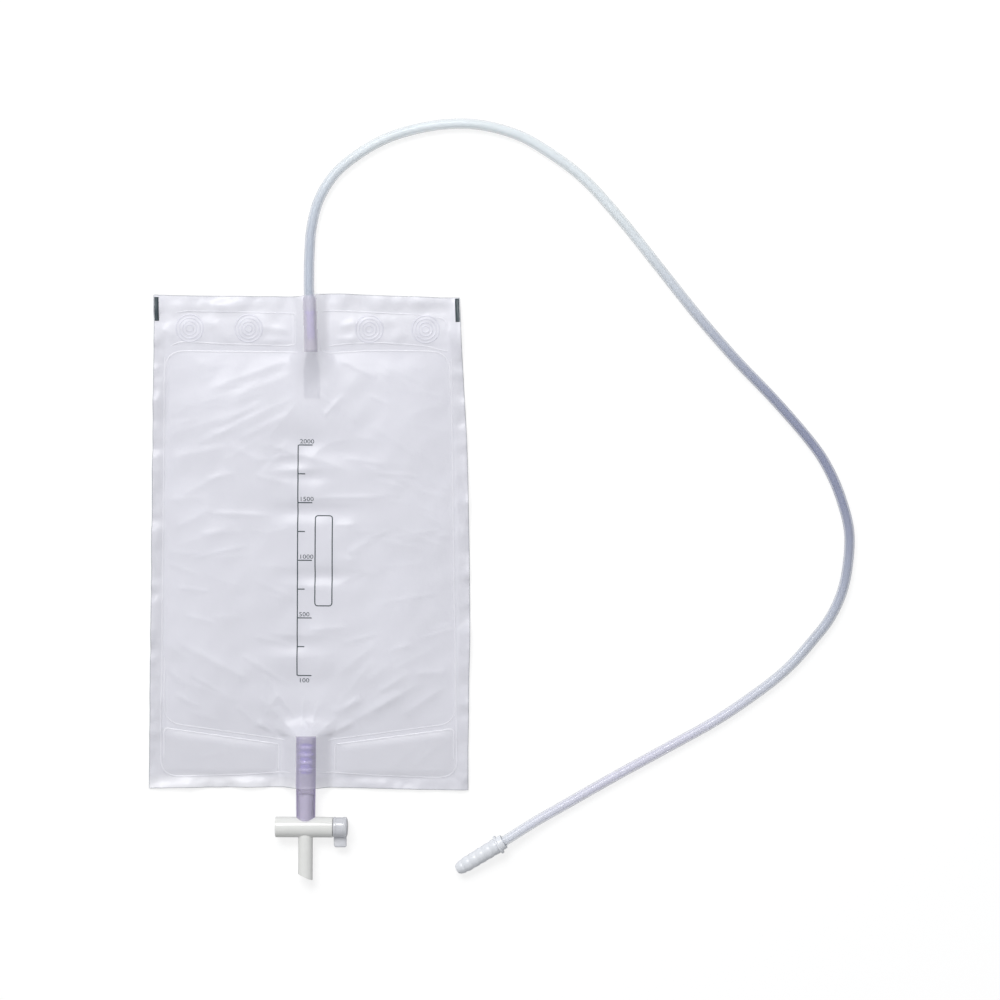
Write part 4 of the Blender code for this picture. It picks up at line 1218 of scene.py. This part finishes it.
def make_flutter_valve():
    """A film tube that goes from round to flat, its two walls lying on each other."""
    stations = 46
    flat_half = (VALVE_HIGH.x - VALVE_LOW.x) / 2
    reach = INLET_LOW.y - VALVE_LOW.y
    rings = []
    for i in range(stations):
        y = VALVE_HIGH.y + (VALVE_LOW.y - VALVE_HIGH.y) * i / (stations - 1)
        flat = float(soft_step(INLET_LOW.y - y, 0.0, 0.45 * reach))
        drop = float(soft_step(INLET_LOW.y - y, 0.0, 0.8 * reach))
        z = INLET_Z + (VALVE_REST - INLET_Z) * drop
        wide = TUBE_RADIUS + (flat_half - TUBE_RADIUS) * flat
        tall = TUBE_RADIUS + (VALVE_SLOT - TUBE_RADIUS) * flat
        ring = []
        for across, high in circle(1.0, 40):
            wave = VALVE_WAVE * flat * math.sin(y * 700 + 2 * across)
            ring.append((wide * across, y, z + tall * high + wave))
        rings.append(ring)
    valve = lean_piece(mesh_piece("flutter_valve_fine", *loft(rings, capped=True), 50))
    finish_piece(valve, VALVE_PAINT, "bag", "clear_film", "flutter_valve")
    valve.data.materials.append(VALVE_NECK_PAINT)
    for face in valve.data.polygons:
        face.material_index = int(face.center.y > INLET_LOW.y)


def boolean(thing, cutter, operation):
    """Applies an exact Boolean with another object, and removes it."""
    change = thing.modifiers.new("cut", "BOOLEAN")
    change.object = cutter
    change.operation = operation
    change.solver = "EXACT"
    made = evaluated_mesh(thing)
    thing.modifiers.clear()
    thing.data = made
    bpy.data.objects.remove(cutter, do_unlink=True)


def rod(name, radius, low, high, steps=64):
    """A plain cylinder from one end to another, as a cutter or as stock."""
    outline = [(0.0, (high - low).length), (radius, (high - low).length), (radius, 0.0), (0.0, 0.0)]
    return place_along(turned(name, outline, steps), low, (high - low).normalized())


OUTLET_WALL = 0.0009
OUTLET_END_RADIUS = 0.0060
OUTLET_INSIDE = 0.0338
SADDLE_GAP = 0.0001
SADDLE_STRETCH = 1.22


def make_outlet_sleeve():
    """The soft outlet sleeve, scooped at its lower end to sit round the barrel."""
    length = OUTLET_HIGH.y - BARREL_Y
    lip = OUTLET_WALL * 0.4
    corners = [
        (OUTLET_RADIUS, length), (OUTLET_RADIUS, length - OUTLET_INSIDE), (OUTLET_END_RADIUS, 0.0),
        (OUTLET_END_RADIUS - OUTLET_WALL, 0.0), (OUTLET_RADIUS - OUTLET_WALL, length - OUTLET_INSIDE),
        (OUTLET_RADIUS - OUTLET_WALL, length),
    ]
    outline = rounded(corners, (lip, 0.004, 0, 0, 0.004, lip), 4)
    sleeve = along_bag(turned("outlet_sleeve_fine", outline, 72), BARREL_Y, OUTLET_Z)
    side = 4 * OUTLET_RADIUS
    saddle = rod(
        "saddle", BARREL_RADIUS + SADDLE_GAP,
        Vector((-side, BARREL_Y, OUTLET_Z)), Vector((side, BARREL_Y, OUTLET_Z)), 96,
    )
    level = Matrix.Translation((0.0, 0.0, OUTLET_Z))
    saddle.data.transform(level @ Matrix.Scale(SADDLE_STRETCH, 4, (0, 0, 1)) @ level.inverted())
    boolean(sleeve, saddle, "DIFFERENCE")
    shaded(sleeve)
    finish_piece(sleeve, OUTLET_PAINT, "bag", "lavender_sleeve", "outlet_sleeve")


def make_outlet_insert():
    """A stiff tube with four rounded ribs, painted pale on their crests as a painted highlight and dark
    purple in the grooves between them as painted shade.
    """
    ribs = 4
    length = INSERT_HIGH.y - INSERT_LOW.y
    rib = (INSERT_HIGH.x - INSERT_LOW.x) / 2
    core = rib - 0.0011
    bore = 0.0033
    pitch = length / ribs
    outline = []
    for i in range(ribs):
        top = length - i * pitch
        for n in range(9):
            share = n / 8
            swell = math.sin(math.pi * share) ** 0.7
            outline.append((core + (rib - core) * swell, top - (0.06 + 0.66 * share) * pitch))
    outline = [(core - 0.0002, length), *outline, (core - 0.0002, 0.0), (bore, 0.0), (bore, length)]
    insert = along_bag(turned("outlet_insert_fine", outline, 64, 60), INSERT_LOW.y, OUTLET_Z)
    # Painted light: the pale crest colour is a painted highlight, and the dark groove colour mixed in below
    # is painted shade
    paint = plastic_material("ribbed_insert_painted_light", (0.80, 0.75, 1.0), (0.76, 0.71, 1.0), 0.12)
    tree = paint.node_tree
    shader = tree.nodes["Principled BSDF"]
    crest = shader.inputs["Base Color"].links[0].from_socket
    groove = near_place(tree, (0.0, 0.0, OUTLET_Z), core + 0.0004, rib - 0.0001, (1.0, 0.0, 1.0))
    tree.links.new(mixed_colour(tree, groove, crest, (0.22, 0.13, 0.68)), shader.inputs["Base Color"])
    finish_piece(insert, paint, "bag", "purple_insert", "outlet_insert")


make_inlet_sleeve()
make_bush()
make_flutter_valve()
make_outlet_sleeve()
make_outlet_insert()


# The tap

BARREL_BORE = 0.0046
BARREL_END_WALL = 0.003
VENT_RADIUS = 0.0008
SPIGOT_BORE = 0.0030
DRAIN_RADIUS = 0.0046
DRAIN_BORE = 0.0032
DRAIN_SLANT = 0.0041
SPOOL_RADIUS = 0.0043
GROOVE_RADIUS = 0.0026
GROOVE_WIDTH = 0.0068
PLUNGER_TRAVEL = 0.010
SEAT_DEPTH = 0.00095
SEAT_WIDTH = 0.0014
SEAT_EDGE = 0.0012
HEAD_LENGTH = 0.0093
HEAD_DOME = 0.0014
TAB_WIDTH = 0.0082
TAB_HALF = 0.00105
TAB_LIP = 0.00035
TAB_BEND = 0.0006
SEAL_SECTION = 0.00045
SEAL_FLOAT = 0.00015


def stub(name, radius, reach, lip=0.0):
    """A round stub from the barrel's bore out to its reach, with a rounded rim if it has a lip."""
    corners = [(0.0, reach), (radius, reach), (radius, BARREL_BORE), (0.0, BARREL_BORE)]
    if lip:
        corners = rounded(corners, (0, lip, 0, 0))
    return turned(name, corners, 72)


def make_tap_body():
    """A cross barrel with rounded rims, the upper spigot and the slanted drain."""
    centre = Vector((0.0, BARREL_Y, OUTLET_Z))
    length = TAP_HIGH.x - TAP_LOW.x
    bore_start = BARREL_END_WALL
    outline = rounded(
        [
            (BARREL_RADIUS, length), (BARREL_RADIUS, 0.0), (VENT_RADIUS, 0.0), (VENT_RADIUS, bore_start),
            (BARREL_BORE, bore_start), (BARREL_BORE, length),
        ],
        (0.0005, 0.0006, 0.0002, 0, 0.0003, 0.0003), 4,
    )
    body = place_along(turned("tap_body_fine", outline, 96), (TAP_LOW.x, BARREL_Y, OUTLET_Z), (1, 0, 0))

    spigot_radius = OUTLET_END_RADIUS - OUTLET_WALL - 0.00005
    up = TAP_HIGH.y - BARREL_Y
    boolean(body, along_bag(stub("spigot", spigot_radius, up, 0.0008), BARREL_Y, OUTLET_Z), "UNION")

    reach = BARREL_Y - TAP_LOW.y
    drain = place_along(stub("drain", DRAIN_RADIUS, reach), centre, (0, -1, 0))
    slant = math.atan2(DRAIN_SLANT, 2 * DRAIN_RADIUS)
    side = 4 * DRAIN_RADIUS
    blade = rod("blade", side, Vector((0, 0, 0)), Vector((0, -2 * side, 0)), 24)
    high_edge = Vector((-DRAIN_RADIUS, TAP_LOW.y + DRAIN_SLANT, OUTLET_Z))
    blade.data.transform(Matrix.Translation(high_edge) @ Matrix.Rotation(-slant, 4, "Z"))
    boolean(drain, blade, "DIFFERENCE")
    boolean(body, drain, "UNION")

    for radius, past_end in ((SPIGOT_BORE, up + 0.002), (DRAIN_BORE, -reach - 0.002)):
        boolean(body, rod("bore", radius, centre, centre + Vector((0, past_end, 0)), 56), "DIFFERENCE")
    shaded(body)
    finish_piece(body, WHITE_PAINT, "bag", "white_plastic", "tap_body")


def tongue(low_y, high_y, start_x, width, z):
    """The finger tab: a curved tongue with a rolled lower lip, as a closed loft."""
    stations = 15
    rings = []
    for i in range(stations):
        share = i / (stations - 1)
        y = high_y + (low_y - high_y) * share
        swell = TAB_HALF + TAB_LIP * max(0.0, (share - 0.72) / 0.28) ** 2
        round_end = math.sqrt(max(0.0, 1 - max(0.0, (share - 0.80) / 0.20) ** 2))
        half = width / 2 * (0.80 + 0.20 * round_end)
        thick = max(swell * (0.35 + 0.65 * round_end), 0.0003)
        bend = TAB_BEND * math.sin(math.pi * share * 0.9)
        ring = []
        for across, high in circle(1.0, 24):
            across = math.copysign(abs(across) ** 0.35, across)
            high = math.copysign(abs(high) ** 0.75, high)
            ring.append((start_x + width / 2 + half * across + 0.0002 * share, y, z + thick * high - bend))
        rings.append(ring)
    return mesh_piece("tongue", *loft(rings, capped=True, flip=True), 40)


def seal_places():
    """Where the three rubber rings sit along the spool."""
    inner = PLUNGER_LOW.x + SEAT_EDGE + SEAT_WIDTH / 2
    middle = -PLUNGER_TRAVEL + GROOVE_WIDTH / 2 + SEAT_EDGE + SEAT_WIDTH / 2
    outer = DRAIN_BORE + SEAT_EDGE + SEAT_WIDTH
    return inner, middle, outer


def make_plunger():
    """The spool, its domed head and its finger tab."""
    inner, middle, outer = seal_places()
    seat = (SEAT_WIDTH / 2, SPOOL_RADIUS - SEAT_DEPTH)
    groove = (GROOVE_WIDTH / 2, GROOVE_RADIUS)
    end = PLUNGER_HIGH.x
    start = end - HEAD_LENGTH
    outline = [(0.0, end)]
    for turn in [math.pi / 2 * n / 8 for n in range(1, 9)]:
        outline.append((HEAD_RADIUS * math.sin(turn) ** 0.8, end - HEAD_DOME * (1 - math.cos(turn))))
    outline += [
        (HEAD_RADIUS, end - 0.0030), (HEAD_RADIUS - 0.00025, end - 0.0032),
        (HEAD_RADIUS - 0.00025, start + 0.0016), (HEAD_RADIUS, start + 0.0014),
        (HEAD_RADIUS, start + 0.0003), (HEAD_RADIUS - 0.0003, start), (SPOOL_RADIUS, start),
    ]
    for place, (reach, radius) in ((outer, seat), (middle, seat), (-PLUNGER_TRAVEL, groove), (inner, seat)):
        outline += [
            (SPOOL_RADIUS, place + reach), (radius, place + reach),
            (radius, place - reach), (SPOOL_RADIUS, place - reach),
        ]
    left = PLUNGER_LOW.x
    outline += [(SPOOL_RADIUS, left + 0.0003), (SPOOL_RADIUS - 0.0003, left), (0.0, left)]
    plunger = turned("tap_plunger_fine", outline, 96)
    level = Matrix.Rotation(math.pi / 2, 4, "Y")
    plunger.data.transform(Matrix.Translation((0.0, BARREL_Y, OUTLET_Z)) @ level)
    tab = tongue(PLUNGER_LOW.y, BARREL_Y - HEAD_RADIUS * 0.6, start + 0.0001, TAB_WIDTH, OUTLET_Z)
    boolean(plunger, tab, "UNION")
    shaded(plunger)
    finish_piece(plunger, NATURAL_PAINT, "plunger", "natural_plastic", "tap_plunger")


def make_seals():
    """The three rubber rings, fine enough to look round."""
    ring_radius = SPOOL_RADIUS - SEAT_DEPTH + SEAL_FLOAT + SEAL_SECTION
    outline = [(ring_radius + across, high) for across, high in reversed(circle(SEAL_SECTION, 16))]
    for name, x in zip(("inner", "middle", "outer"), seal_places()):
        seal = turned(f"plunger_seal_{name}_fine", outline, 56, 60)
        place_along(seal, (x, BARREL_Y, OUTLET_Z), (1, 0, 0))
        finish_piece(seal, SEAL_PAINT, "plunger", "seal_rubber", f"plunger_seal_{name}")


make_tap_body()
make_plunger()
make_seals()


# Floor, light and surroundings

SKY_LEVEL = 0.38
FLOOR_DROP = 0.0003
FLOOR_SIZE = 8.0
FLOOR_GLOW = 0.72
FLOOR_WHITE = 1.08
FLOOR_MIRRORED = 0.35


def seen_by(tree, first_ray, second_ray):
    """1 for either kind of ray, 0 for the others."""
    rays = [add_node(tree, "LightPath", {}, ray) for ray in (first_ray, second_ray)]
    return add_node(tree, "Math", dict(enumerate(rays)), operation="MAXIMUM")


def make_floor():
    """A white floor, which stays white for the camera and dim in the gloss of the pieces."""
    half = FLOOR_SIZE / 2
    verts = [(-half, -half, 0), (half, -half, 0), (half, half, 0), (-half, half, 0)]
    floor = mesh_piece("floor", verts, [(0, 1, 2, 3)])
    floor.location = (CAMERA_PLACE[0], CAMERA_PLACE[1], -FLOOR_DROP)
    made, tree, shader = new_material("floor")
    fill(tree, shader, {"Base Color": (0.94, 0.94, 0.94), "Roughness": 0.9, "Specular IOR Level": 0.0})
    seen = seen_by(tree, "Is Camera Ray", "Is Transmission Ray")
    share = add_node(tree, "Math", {0: seen, 1: FLOOR_GLOW}, operation="MULTIPLY")
    glow = add_node(tree, "Emission", {"Strength": FLOOR_WHITE})
    surface = add_node(tree, "MixShader", {0: share, 1: shader.outputs[0], 2: glow})
    mirrored = add_node(tree, "LightPath", {}, "Is Glossy Ray")
    card = add_node(tree, "Emission", {"Strength": FLOOR_MIRRORED})
    surface = add_node(tree, "MixShader", {0: mirrored, 1: surface, 2: card})
    tree.links.new(surface, tree.nodes["Material Output"].inputs["Surface"])
    floor.data.materials.append(made)


def make_world():
    """A sky that is brighter overhead, level in gloss and clear plastic, and white for the camera."""
    world = bpy.data.worlds.new("world")
    bpy.context.scene.world = world
    world.use_nodes = True
    tree = world.node_tree
    place = add_node(tree, "TexCoord", {}, "Generated")
    height = add_node(tree, "SeparateXYZ", {"Vector": place}, "Z")
    level = ranged(tree, height, 0.22, 0.85, 0.0, 0.8)
    shiny = seen_by(tree, "Is Glossy Ray", "Is Transmission Ray")
    level = add_node(tree, "Mix", {0: shiny, 2: SKY_LEVEL, 3: level})
    camera_ray = add_node(tree, "LightPath", {}, "Is Camera Ray")
    level = add_node(tree, "Mix", {0: camera_ray, 2: level, 3: 1.0})
    fill(tree, tree.nodes["Background"], {"Color": (0.97, 0.98, 1.0), "Strength": level})


def add_lamp(name, place, target, size, power):
    data = bpy.data.lights.new(name, "AREA")
    data.shape = "RECTANGLE"
    data.size, data.size_y = size
    data.energy = power
    lamp = new_object(name, data)
    lamp.location = place
    lamp.rotation_euler = (Vector(target) - Vector(place)).to_track_quat("-Z", "Y").to_euler()


make_floor()
make_world()
middle = (CAMERA_PLACE[0], CAMERA_PLACE[1], 0.0)
add_lamp("key_light", (-0.65, 1.75, 2.35), middle, (1.7, 1.2), 58.0)
add_lamp("strip_light", (-0.2, 0.75, 1.45), middle, (1.2, 0.5), 4.0)

bpy.context.scene.view_settings.view_transform = "Standard"
